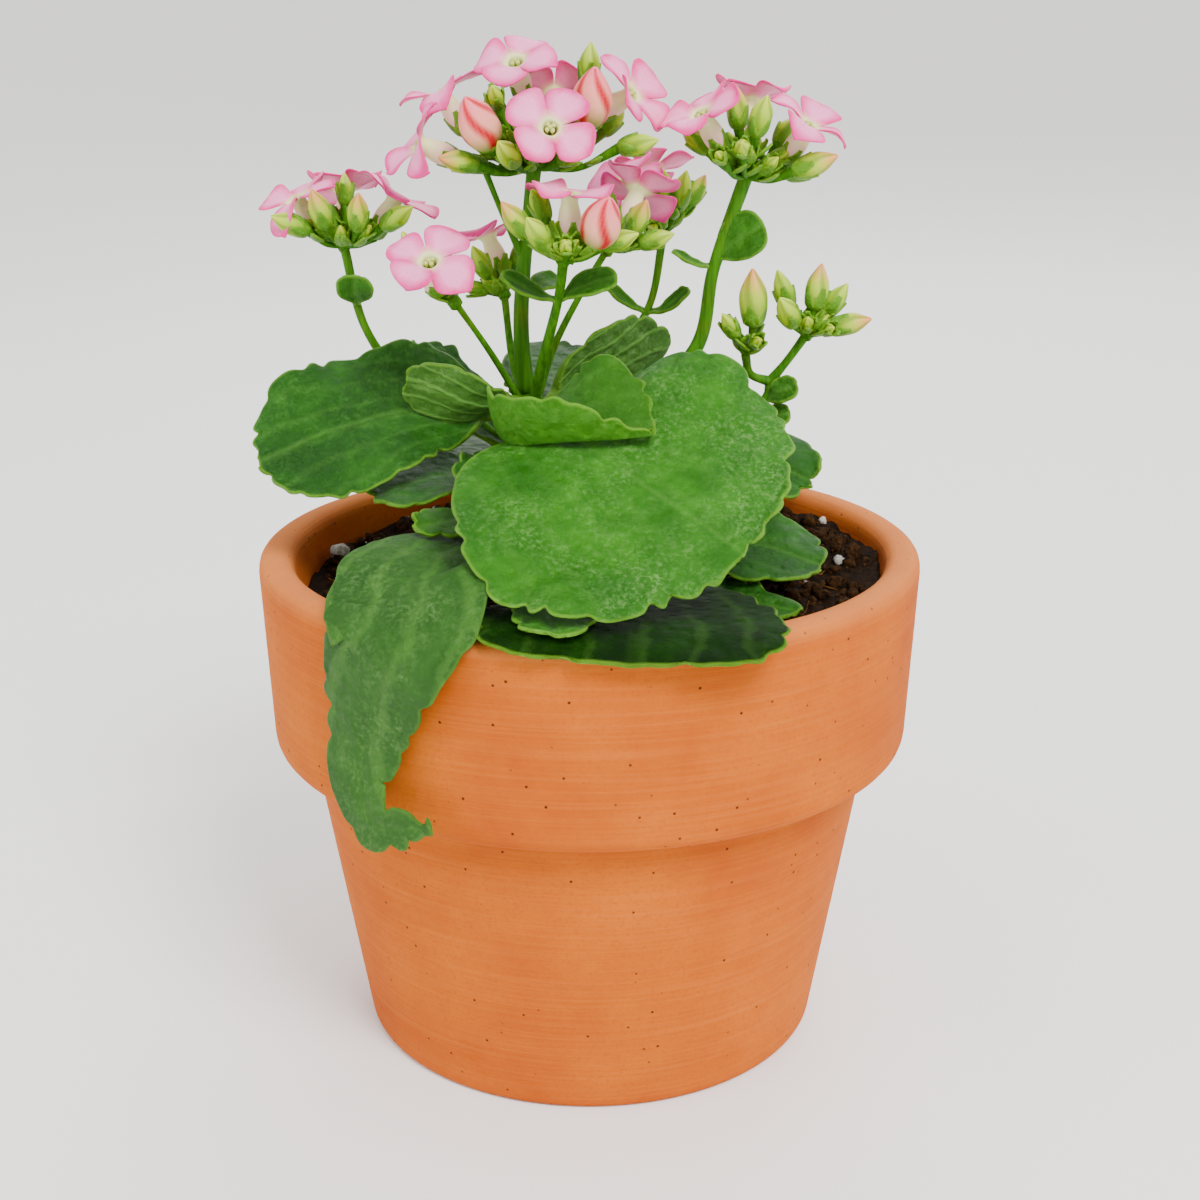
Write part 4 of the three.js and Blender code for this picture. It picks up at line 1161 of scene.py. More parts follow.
            # Broad swellings, and a fine puckering between the veins that a small leaf has less of.
            relief = min(self.width / 36, 1.0)
            lumps = rough(spots, 13, seed) * self.sag * (0.4 + 0.6 * share.ravel())
            lumps += relief * (rough(spots, 4.5, seed) * 0.24 + rough(spots, 2.2, seed) * 0.13)
            points += face * (lumps.reshape(share.shape) * grown)[:, :, None]
        return points, np.stack([flat[:, :, 0], flat[:, :, 1], inward], 2)

    def add_to(self, maker: MeshMaker, neck: Neck) -> np.ndarray:
        """Adds the leaf's middle surface to a mesh.

        Args:
            maker: What it is added to.
            neck: Where the plant's heights start.

        Returns:
            How far in from the margin each of its points is, in millimetres.
        """
        points, facts = self.surface()
        lifted = points.reshape(-1, 3) + np.array((0, 0, neck.level))
        maker.add(lifted, grid_faces(*points.shape[:2]), leaf_place=facts.reshape(-1, 3))
        return facts[:, :, 2].ravel()

    def build(self, neck: Neck, skins: Callable[[LeafTone], list[bpy.types.Material]]) -> bpy.types.Object:
        """Builds the leaf.

        Args:
            neck: Where the plant's heights start.
            skins: Gives the materials of a leaf tone.

        Returns:
            The leaf.
        """
        maker = MeshMaker()
        inward = self.add_to(maker, neck)
        piece = maker.build(self.name, skins(self.tone))
        thin = piece.vertex_groups.new(name="thickness")
        shares = np.repeat(self.shares(), 2 * self.half_columns + 1)
        stalk = np.clip(1 - (shares - self.petiole) / 0.15, 0, 1)
        blade = self.thickness * (0.55 + 0.45 * np.clip(inward / 5, 0, 1))
        thick = (blade + (self.petiole_thickness - blade) * stalk) / self.petiole_thickness
        for index, weight in enumerate(thick):
            thin.add([index], float(weight), "REPLACE")
        thicken(piece, self.petiole_thickness, under=1, group="thickness")
        return piece


@dataclass
class Bract:
    """A small leaf on a stalk."""

    rib: Sequence[Point]
    face: Point
    width: float

    def add_to(self, maker: MeshMaker, neck: Neck) -> None:
        """Adds the bract's surface to a mesh, a little cupped.

        Args:
            maker: What it is added to.
            neck: Where the plant's heights start.
        """
        blade = Leaf(
            "bract", self.rib, (self.face, self.face), self.width, petiole=0.12, petiole_width=1.2,
            bends=(16, 16), tooth=2.6, tooth_depth=0.22, wave=0.15, sag=0.1, rows=22, half_columns=5,
        )
        blade.add_to(maker, neck)


@dataclass
class Stalk:
    """A flower stalk: a smooth round stem with slightly swollen joints, its branches and its bracts."""

    name: str
    points: Sequence[Point]
    radii: tuple[float, float]
    branches: Sequence[tuple[Sequence[Point], float]] = ()
    bracts: Sequence[Bract] = ()

    def build(self, neck: Neck, skin: bpy.types.Material, blades: list[bpy.types.Material]) -> None:
        """Builds the stalk and its bracts.

        Args:
            neck: Where the plant's heights start.
            skin: The stalk's material.
            blades: The bracts' materials, above and below.
        """
        maker = MeshMaker()
        start, end = self.radii
        middle = (start + end) / 2
        radii = [start * 1.15, start, middle, end * 0.95, end * 1.1]
        maker.add(*tube(neck.lift(self.points), radii, step=0.7))
        for points, radius in self.branches:
            maker.add(*tube(neck.lift(points), [radius * 1.5, radius, radius * 0.95, radius * 1.1], step=0.6))
        place(maker.build(self.name, [skin]), "stem", self.name)
        if self.bracts:
            leaves = MeshMaker()
            for bract in self.bracts:
                bract.add_to(leaves, neck)
            piece = leaves.build(f"{self.name}_bracts", blades)
            thicken(piece, 0.6, under=1)
            place(piece, "leaf")


@dataclass
class Flower:
    """An open flower: a slim tube that opens into four broad pointed petals, with anthers in its throat."""

    at: Point
    face: Point
    spin: float = 0.0
    width: float = 15.5
    tube_length: float = 7.5
    tube_radius: float = 1.5
    petals: int = 4
    keel: float = 0.14  # how much a petal's sides rise from its middle
    ruffle: float = 0.5  # how high its ruffled edge waves, in millimetres
    seed: int = 0
    outline_at: tuple[float, ...] = (0.0, 0.12, 0.3, 0.5, 0.68, 0.82, 0.93, 1.0)
    outline: tuple[float, ...] = (0.36, 0.48, 0.78, 1.0, 0.96, 0.74, 0.4, 0.04)

    def tube_rings(self, columns: int) -> tuple[np.ndarray, np.ndarray]:
        """The tube's rings from its foot to its throat, and their places."""
        angles = np.linspace(0, 2 * math.pi, columns, endpoint=False)
        rings, facts = [], []
        for share in np.linspace(0, 1, 9):
            belly = self.tube_radius * (0.7 + 0.45 * math.sin(math.pi * min(share * 1.15, 1)) ** 0.8)
            neck = belly if share < 0.86 else belly + 0.35 * (share - 0.86) / 0.14
            height = -self.tube_length * (1 - share) - 0.1
            rings.append(np.stack([neck * np.cos(angles), neck * np.sin(angles), angles * 0 + height], 1))
            facts.append(np.stack([angles * 0 + 0.2 + 2.6 * (1 - share), angles * 0, angles * 0 + 2.0], 1))
        return np.array(rings), np.array(facts)

    @property
    def foot(self) -> np.ndarray:
        """Where its tube starts."""
        aim = np.array(self.face) / np.linalg.norm(self.face)
        return np.array(self.at) - aim * (self.tube_length + 0.2)

    def build_into(self, maker: MeshMaker, neck: Neck) -> None:
        """Adds the corolla's surface to a mesh.

        Args:
            maker: What it is added to.
            neck: Where the plant's heights start.
        """
        across, out_steps = 10, 12
        columns = self.petals * across
        rings, facts = self.tube_rings(columns)
        turn = turned_to(self.face, self.spin)
        base = np.array(self.at) + np.array((0, 0, neck.level))
        points = [rings.reshape(-1, 3)]
        places = [facts.reshape(-1, 3)]
        faces: list[tuple[int, ...]] = grid_faces(len(rings), columns, closed=True)
        foot = len(points[0])
        points.append(rings[0].mean(0)[None] - np.array((0, 0, 0.15)))
        places.append(np.array([[3.0, 0, 2.0]]))
        faces += [(foot, (j + 1) % columns, j) for j in range(columns)]
        mouth = (len(rings) - 1) * columns
        throat = float(np.hypot(*rings[-1][0][:2]))
        wobble = random.Random(self.seed)
        for petal in range(self.petals):
            middle = (petal + 0.5) * 2 * math.pi / self.petals + wobble.uniform(-0.08, 0.08)
            length = self.width / 2 - throat + wobble.uniform(-0.3, 0.6)
            broad = self.width * 0.25 * wobble.uniform(0.94, 1.06)
            lift = math.radians(wobble.uniform(-6, 36))
            twist, curl = wobble.uniform(-0.36, 0.36), wobble.uniform(0.4, 3.2)
            start = foot + 1 + petal * out_steps * (across + 1)
            grid, spots = [], []
            for i in range(1, out_steps + 1):
                s = i / out_steps
                # From a narrow foot out to broad shoulders and in again to a small point.
                half = broad * float(np.interp(s, self.outline_at, self.outline))
                for j in range(across + 1):
                    v = -1 + 2 * j / across
                    y = half * v
                    x = throat + length * math.cos(lift) * s - 0.3 * v * v * (1 - s)
                    rise = math.sin(lift) * length * s - curl * s**3 + twist * y * s + self.keel * abs(y)
                    # A ruffle that grows towards the petal's edge and tip.
                    rise += self.ruffle * s * v * v * math.sin(7 * s + 2.5 * v + 2 * petal + self.seed)
                    turned_x = x * math.cos(middle) - y * math.sin(middle)
                    turned_y = x * math.sin(middle) + y * math.cos(middle)
                    grid.append((turned_x, turned_y, rise))
                    inward = min(half * (1 - abs(v)), 1.2 * length * (1 - s))
                    spots.append((throat + length * s, y, inward))
            points.append(np.array(grid))
            places.append(np.array(spots))
            for j in range(across):
                a = mouth + (petal * across + j) % columns
                b = mouth + (petal * across + j + 1) % columns
                faces.append((a, b, start + j + 1, start + j))
            row = across + 1
            for i in range(out_steps - 1):
                for j in range(across):
                    k = start + i * row + j
                    faces.append((k, k + 1, k + row + 1, k + row))
        maker.add(np.vstack(points) @ turn.T + base, faces, petal_place=np.vstack(places))

    def anthers_into(self, maker: MeshMaker, neck: Neck) -> None:
        """Adds the anthers and the stigma in the throat.

        Args:
            maker: What they are added to.
            neck: Where the plant's heights start.
        """
        turn = turned_to(self.face, self.spin)
        base = np.array(self.at) + np.array((0, 0, neck.level))
        for k in range(5):
            angle = k * math.pi / 2 + 0.4
            out = 0.0 if k == 4 else 0.62
            foot = np.array((out * 0.9 * math.cos(angle), out * 0.9 * math.sin(angle), -2.0))
            tip = np.array((out * math.cos(angle), out * math.sin(angle), 0.35 if k == 4 else 0.15))
            route = [tuple(turn @ point + base) for point in (foot, (foot + tip) / 2, tip)]
            maker.add(*tube(route, [0.16, 0.18, 0.4], sides=8, step=0.25))


@dataclass
class Bud:
    """A closed bud: four-sided and faintly twisted, pointed at its tip."""

    at: Point
    face: Point
    size: float = 1.0
    stage: BudStage = BudStage.GREEN
    start: Point | None = None
    length: float = 8.0
    radius: float = 2.0
    opening_swell: float = 1.3  # how much wider a bud is once its petals start to unfurl

    @property
    def foot(self) -> np.ndarray:
        """Where it starts."""
        aim = np.array(self.face) / np.linalg.norm(self.face)
        return np.array(self.at) - aim * 0.48 * self.length * self.size

    def build_into(self, maker: MeshMaker, neck: Neck) -> None:
        """Adds the bud to a mesh.

        Args:
            maker: What it is added to.
            neck: Where the plant's heights start.
        """
        rows, columns = 18, 28
        angles = np.linspace(0, 2 * math.pi, columns, endpoint=False)
        turn = turned_to(self.face, 37.0 * self.at[0])
        base = np.array(self.at) + np.array((0, 0, neck.level))
        unfurling = self.stage is BudStage.OPENING
        widest = self.radius * self.size * (self.opening_swell if unfurling else 1.0)
        pinch, turning = (0.2, 1.7) if unfurling else (0.45, 0.9)
        rings, facts = [], []
        for i in range(rows):
            up = (i + 0.4) / (rows - 0.2)
            girth = math.sin(math.pi * min(up, 1) ** 0.8) ** 0.62
            girth *= 1 if up < 0.6 else 1 - pinch * ((up - 0.6) / 0.4) ** 1.5
            twist = turning * max(up - 0.35, 0)
            seam = np.abs(np.sin(2 * (angles + twist))) ** 3
            radius = widest * girth * (1 - 0.09 * (1 - np.abs(np.cos(2 * (angles + twist)))))
            height = self.length * self.size * (up - 0.5)
            rings.append(np.stack([radius * np.cos(angles), radius * np.sin(angles), angles * 0 + height], 1))
            facts.append(np.stack([angles * 0 + up, seam, angles * 0], 1))
        points, faces = rings_to_solid(np.array(rings))
        ends = np.array([[0.0, 0, 0], [1.0, 0, 0]])
        maker.add(points @ turn.T + base, faces, bud_place=np.vstack([*facts, ends]))


@dataclass
class Truss:
    """A head of flowers: its pedicels fan out from the stalk's top, each to a calyx and a bud or a flower."""

    name: str
    hub: Point
    flowers: Sequence[Flower] = ()
    buds: Sequence[Bud] = ()
    arms: Sequence[Sequence[Point]] = ()
    pedicel_radius: float = 0.55
    sepal_length: float = 4.0
    small_bud_reach: float = 5.0  # how far out the pedicels have to be for a young bud between them

    def pedicel(self, start: Point, end: np.ndarray) -> list[Point]:
        """The points of a pedicel, which leaves the stalk low and turns up.

        Args:
            start: Where it leaves.
            end: Where it ends.

        Returns:
            Its points.
        """
        begin = np.array(start)
        middle = (begin + end) / 2
        middle[2] -= 0.12 * float(np.linalg.norm(end - begin))
        return [tuple(begin), tuple(middle), tuple(end)]

    def calyx(self, leaves: MeshMaker, neck: Neck, foot: np.ndarray, face: Point, girth: float) -> None:
        """Adds a calyx: four narrow pointed sepals that clasp the foot of a bud or a tube.

        Args:
            leaves: What it is added to.
            neck: Where the plant's heights start.
            foot: Where it sits.
            face: The way it opens.
            girth: The radius that it clasps, in millimetres.
        """
        turn = turned_to(face, 22.0 + 31 * foot[0])
        for k in range(4):
            angle = k * math.pi / 2
            way = np.array((math.cos(angle), math.sin(angle), 0.0))
            rib = [
                way * 0.15 * girth + (0, 0, -0.3),
                way * 0.85 * girth + (0, 0, 0.2),
                way * (girth + 0.3) + (0, 0, 0.5 * self.sepal_length),
                way * (girth + 0.45) + (0, 0, 0.95 * self.sepal_length),
            ]
            faces = [tuple(turn @ ways) for ways in (-way * 0.2 + (0, 0, 1), -way, -way + (0, 0, 0.2))]
            sepal = Leaf(
                "sepal", [tuple(turn @ p + foot) for p in rib], faces, 2.9 * max(girth, 1.0) / 1.25,
                petiole=0.05, petiole_width=0.9, bends=(26, 26), taper=(0.35, 0.8), tooth_depth=0.0,
                wave=0, sag=0, rows=10, half_columns=2,
            )
            sepal.add_to(leaves, neck)

    def bractlet(
        self, leaves: MeshMaker, neck: Neck, start: Point, foot: np.ndarray, chance: random.Random
    ) -> None:
        """Adds a pair of narrow leaves to a pedicel, near where it leaves the stalk.

        Args:
            leaves: What they are added to.
            neck: Where the plant's heights start.
            start: Where the pedicel starts.
            foot: Where it ends.
            chance: Where its small differences come from.
        """
        begin = np.array(start)
        far = float(np.linalg.norm(foot - begin))
        for share in (0.3, 0.62):
            joint = begin + (foot - begin) * share - (0, 0, 0.1 * far)
            angle = chance.uniform(0, math.tau)
            out = np.array((math.cos(angle), math.sin(angle), 0.0)) + 0.6 * (foot - begin) / far
            length = chance.uniform(2.6, 4.2)
            rib = [joint, joint + out * 0.45 * length + (0, 0, 0.3), joint + out * 0.8 * length + (0, 0, 1.3)]
            blade = Leaf(
                "bractlet", [tuple(point) for point in rib], [(0, 0, 1), (-0.4 * out[0], -0.4 * out[1], 0.9)],
                2.1, petiole=0.05, petiole_width=0.8, bends=(22, 22), taper=(0.4, 0.7), tooth_depth=0.0,
                wave=0, sag=0, rows=9, half_columns=2,
            )
            blade.add_to(leaves, neck)

    def small_buds(self, chance: random.Random) -> list[Bud]:
        """Picks places for the youngest buds, low in the head between the pedicels.

        Args:
            chance: Where their small differences come from.

        Returns:
            The buds.
        """
        hub = np.array(self.hub)
        ends = [np.array(flower.at) - hub for flower in self.flowers]
        ends += [np.array(bud.at) - hub for bud in self.buds if bud.start is None]
        ends.sort(key=lambda way: math.atan2(way[1], way[0]))
        made = []
        for first, second in zip(ends, ends[1:] + ends[:1]):
            way = (first + second) / 2
            if len(ends) < 4 or float(np.linalg.norm(way)) < self.small_bud_reach:
                continue
            at = hub + way * chance.uniform(0.45, 0.62) + (0, 0, chance.uniform(-1.5, 0.5))
            made.append(Bud(tuple(at), tuple(way), chance.uniform(0.42, 0.6)))
        return made

    def build(self, neck: Neck, finishes: Finishes) -> None:
        """Builds the truss with its flowers and buds.

        Args:
            neck: Where the plant's heights start.
            finishes: The plant's materials.
        """
        stems, leaves = MeshMaker(), MeshMaker()
        chance = random.Random(len(self.buds) * 7 + len(self.name))
        for arm in self.arms:
            stems.add(*tube(neck.lift(arm), [0.95, 0.7, 0.7, 0.8], step=0.6))
        up = [np.array(self.hub) + (0, 0, k) for k in (-0.8, 0.0, 0.5)]
        stems.add(*tube(neck.lift(tuple(p) for p in up), [0.9, 1.35, 1.0], step=0.3))
        tops = [(flower, self.hub, 1.15) for flower in self.flowers]
        tops += [(bud, bud.start or self.hub, 1.25 * bud.size) for bud in self.buds]
        for top, start, girth in tops:
            stems.add(*self.stem_to(neck, start, top.foot))
            self.calyx(leaves, neck, top.foot, top.face, girth)
            self.bractlet(leaves, neck, start, top.foot, chance)
        small = self.small_buds(chance)
        for bud in small:
            stems.add(*self.stem_to(neck, self.hub, bud.foot))
            self.calyx(leaves, neck, bud.foot, bud.face, 1.35 * bud.size)
        place(stems.build(self.name, [finishes.stalk]), "stem", self.name)
        sepals = leaves.build(f"{self.name}_calyxes", finishes.skins(LeafTone.SEPAL))
        thicken(sepals, 0.38, under=1)
        place(sepals, "leaf")
        for stage in BudStage:
            some = [bud for bud in [*self.buds, *small] if bud.stage is stage]
            if some:
                maker = MeshMaker()
                for bud in some:
                    bud.build_into(maker, neck)
                piece = maker.build(f"{self.name}_buds_{stage.name.lower()}", [finishes.bud(stage)])
                place(piece, "bud")
        for index, flower in enumerate(self.flowers, 1):
            node = f"{self.name.replace('truss', 'flower')}_{index}"
            corolla, throat = MeshMaker(), MeshMaker()
            flower.seed = index + len(self.name)
            flower.build_into(corolla, neck)
            piece = corolla.build(node, [finishes.petal])
            thicken(piece, 0.32)
            place(piece, "petal", node)
            flower.anthers_into(throat, neck)
            place(throat.build(f"{node}_anthers", [finishes.anther]), "petal")

    def stem_to(self, neck: Neck, start: Point, foot: np.ndarray) -> Any:
        """The tube of a pedicel from the stalk to the foot of a bud or a flower."""
        radii = [self.pedicel_radius * share for share in (1, 0.85, 1, 1.7)]
        return tube(neck.lift(self.pedicel(start, foot)), radii, step=0.6)


class Finishes:
    """The plant's materials, each made once."""

    def __init__(self) -> None:
        """Makes the ones that every truss shares."""
        self.stalk = StalkSkin().material()
        self.petal = PetalSkin().material()
        self.anther = BudSkin("anther_skin", body="#c9b84a", foot="#b9c46a", tip="#8f6a2e").material()
        self.made: dict[Any, Any] = {}

    def skins(self, tone: LeafTone) -> list[bpy.types.Material]:
        """The materials of a leaf tone, for its upper side and its under side."""
        if tone not in self.made:
            self.made[tone] = [skin.material() for skin in tone.value]
        return self.made[tone]

    def bud(self, stage: BudStage) -> bpy.types.Material:
        """The material of a stage of bud."""
        if stage not in self.made:
            self.made[stage] = stage.value.material()
        return self.made[stage]


@dataclass
class Kalanchoe:
    """The whole plant."""

    neck: Neck
    finishes: Finishes = field(default_factory=Finishes)
    stem_points: Sequence[Point] = ((-1, 2, -24), (-2, 2, 0), (-6, 1.5, 16), (-10.5, 0.5, 34))
    stem_radii: Sequence[float] = (3.4, 3.3, 3.0, 2.8, 2.6)

    def leaves(self) -> list[Leaf]:
        """The leaves, from the left of the plant's best side round to its back."""
        rim = self.neck.over_rim
        return [
            Leaf(
                "leaf_left",
                [(-8.5, 1, 30), (-17, -1, 32.5), (-28.5, -4.5, 33.5), (-42, -8, 31), (-55, -10.5, 26)],
                [(0, -0.5, 0.85), (-0.1, -0.65, 0.75), (-0.2, -0.7, 0.7)],
                29, bends=(10, 10), taper=(0.6, 0.4), swells=((1, 1), (2.2, 1.7, 1.05, 1, 1)),
                tooth_depth=1.7, wave=1.2,
            ),
            Leaf(
                "leaf_left_rear",
                [(-10, -1, 33), (-13.5, -4.5, 34.6), (-20, -9, 35.7), (-30.5, -8.5, 39.6)],
                [(0, 0.75, 0.6), (0, 0.9, 0.4)],
                12.5, bends=(5, 5), tooth_depth=0.9, wave=0.3, sag=0.2,
            ),
            Leaf(
                "leaf_back_left",
                [(-8, 2, 19), (-17, 9, 27), (-24, 16, 33), (-31, 22.5, 40)],
                [(0.2, -0.2, 1), (0.4, -0.2, 0.9)],
                15, bends=(20, 20),
            ),
            Leaf(
                "leaf_front_folded",
                [(-9, 0, 29), (-14, -12, 31.5), (-12, -23, 32.5), (-3, -28, 34), (10.5, -28, 35)],
                [(0, -0.2, 1), (0.1, -0.1, 1), (0.1, -0.1, 1)],
                30, LeafTone.BRIGHT, halves=(1, 0.48), bends=(12, 26), folds=(26, 58), taper=(0.6, 0.3),
                swells=((0.5, 0.45, 0.5, 0.85, 1.15, 1.25), (0.5, 0.9, 1.65, 1.35, 0.8, 0.35)),
                tooth_depth=1.6, rows=100, wave=0.5,
            ),
            Leaf(
                "leaf_front_large",
                [(-5, 0.5, 16), (-6, -10, 25.5), (-4.5, -22, 33.8), (9.5, -34, 27.3), (23.5, -44.5, 19.9)],
                [(0, -0.7, 0.7), (0, -0.57, 0.82), (0, -0.57, 0.82), (0, -0.57, 0.82)],
                57, LeafTone.BROAD, bends=(5, 3), taper=(0.38, 0.45), petiole=0.36, rows=150, half_columns=20,
                tooth_depth=2.1, tooth=6.6, wave=1.7, sag=1.5, swells=((1, 1), (1, 1, 1.02, 1.08, 1.16, 1.2)),
            ),
            Leaf(
                "leaf_over_left_rim",
                [
                    (-4, 0.5, 10), (-15, -14, 14), (-23, -30, 16.3), rim(-32.74, -7.62, 4.55),
                    rim(-28.5, -2.7, 3.05), rim(-29.5, 2.9, -3.5), rim(-33, 2.99, -14.55),
                    rim(-35.5, 3.73, -24.55), rim(-31, 5.78, -30.05), rim(-22, 6.19, -28.05),
                ],
                [
                    (0, -0.3, 1), (-0.1, -0.3, 0.95), (0.1, -0.25, 0.95), (0, -0.45, 0.85),
                    (-0.4, -0.75, 0.5), (-0.5, -0.85, 0.1), (-0.55, -0.8, 0), (-0.4, -0.9, 0.1),
                ],
                22, LeafTone.DULL, bends=(-6, -6), taper=(0.55, 0.75), petiole=0.16, wave=0.4, sag=0.4,
                swells=((1, 1.1, 1.25, 1.25, 1.1, 0.8, 0.75, 1.2), (1, 1.0, 1.0, 1.2, 1.35, 1.15, 0.85, 1.2)),
                tooth_depth=1.8, tooth=6.2, rows=150,
            ),
            Leaf(
                "leaf_over_front_rim",
                [
                    (-4.8, 0.5, 5), (-5, -9, 7), (3.5, -18, 9.5),
                    rim(10.44, -18.91, 0.25), rim(7, -5.55, 0.72), rim(5.5, 2.8, -1.85),
                ],
                [(0, -0.1, 1), (0, 0, 1), (0, 0, 1), (0, -0.35, 1)],
                47, LeafTone.GLOSSY, bends=(4, 4), taper=(0.9, 0.2), petiole=0.3, wave=0.25, sag=0.2,
                rows=120, half_columns=16,
            ),
            Leaf(
                "leaf_front_small",
                [(-4.5, 0.5, 8), (-4.5, -18, 13), rim(-8.236, -19.15, 1.9, 1), rim(-4.475, 0.1258, 0.75, 1)],
                [(0, -0.2, 1), (0, -0.1, 1)],
                13.5, LeafTone.BROAD, bends=(6, 6), taper=(0.6, 0.3), petiole=0.5, wave=0.1, sag=0.1,
            ),
            Leaf(
                "leaf_right_low",
                [(-2, 1.5, 8), (10, -9, 12.5), (25, -17, 14), (38, -22, 11.5)],
                [(0.1, -0.4, 0.9), (0.2, -0.5, 0.9)],
                18, bends=(10, 10), taper=(0.6, 0.35),
            ),
            Leaf(
                "leaf_right_small",
                [(-2, 0, 6), (9, -14, 7.2), (22, -25, 7.4), rim(47.22, -11.75, -3.55)],
                [(0.1, -0.5, 0.9), (0.2, -0.5, 0.9)],
                9, bends=(15, 15),
            ),
            Leaf(
                "leaf_right_rear",
                [(-9, 2, 30), (-4, 7, 35), (5, 12.5, 38.5), (14.5, 18, 41.5)],
                [(-0.1, 0.8, 0.5), (-0.2, 0.9, 0.38)],
                18, bends=(5, 5), taper=(0.6, 0.6), tooth_depth=1.2, wave=0.3, sag=0.25,
            ),
            Leaf(
                "leaf_back_right",
                [(-8, 2, 26), (-6.5, 13, 32), (-5, 23, 34.6), (0.5, 31, 37.2)],
                [(0, -0.3, 0.95), (0, -0.4, 0.9)],
                22, bends=(10, 10),
            ),
            Leaf(
                "leaf_right_inner",
                [(-6.5, 1.5, 17), (2, 5, 23.5), (10, 10, 29.5), (17, 15, 34.5)],
                [(0, -0.3, 1), (0, -0.4, 0.9)],
                14, bends=(12, 12),
            ),
            Leaf(
                "leaf_center_low",
                [(-7.5, 0.5, 20), (-11, -9, 24), (-15, -17, 25.5), (-19, -23.5, 24.5)],
                [(0.1, -0.4, 0.9), (0.1, -0.5, 0.85)],
                14, bends=(10, 10),
            ),
            Leaf(
                "leaf_left_low",
                [(-5.5, 1, 16), (-16, -3, 21.5), (-26, -9.5, 23), (-35.5, -16, 21.2)],
                [(0, -0.2, 0.95), (-0.1, -0.35, 0.9)],
                15, bends=(10, 15),
            ),
            Leaf(
                "leaf_left_small",
                [(-5, 0.5, 12.5), (-12.5, -12, 16.8), (-20, -20, 18.8), (-27.5, -26.5, 19.2)],
                [(0, -0.2, 0.95), (0, -0.4, 0.9)],
                10, LeafTone.BRIGHT, bends=(15, 15),
            ),
            Leaf(
                "leaf_back_over_rim",
                [
                    (-3, 3, 7), (-4, 20, 13),
                    rim(-178.5, -19.54, 3.95), rim(176, -4.55, 2.95), rim(176, 4.53, -1.75),
                ],
                [(0, 0.2, 1), (0, 0.2, 1), (0, 0.5, 1)],
                36, LeafTone.BROAD, bends=(-6, -6),
            ),
            Leaf(
                "leaf_back_low_left",
                [(-4, 2.5, 12), (-17, 13, 21), (-29, 23, 22), (-42, 31, 17)],
                [(-0.2, 0.2, 1), (-0.4, 0.3, 1)],
                28, bends=(-8, -8),
            ),
            Leaf(
                "leaf_back_low_right",
                [(-3, 2.5, 12), (11, 12, 20), (25, 22, 22), (40, 31, 18)],
                [(0.2, 0.2, 1), (0.4, 0.3, 1)],
                28, LeafTone.BROAD, bends=(-8, -8),
            ),
            Leaf(
                "leaf_right",
                [(11, 5, 18), (20, -1, 22.5), (29, -5.5, 24.8), (37.5, -9, 22)],
                [(0.1, -0.5, 0.9), (0.3, -0.6, 0.75)],
                17, bends=(10, 10),
            ),
        ]

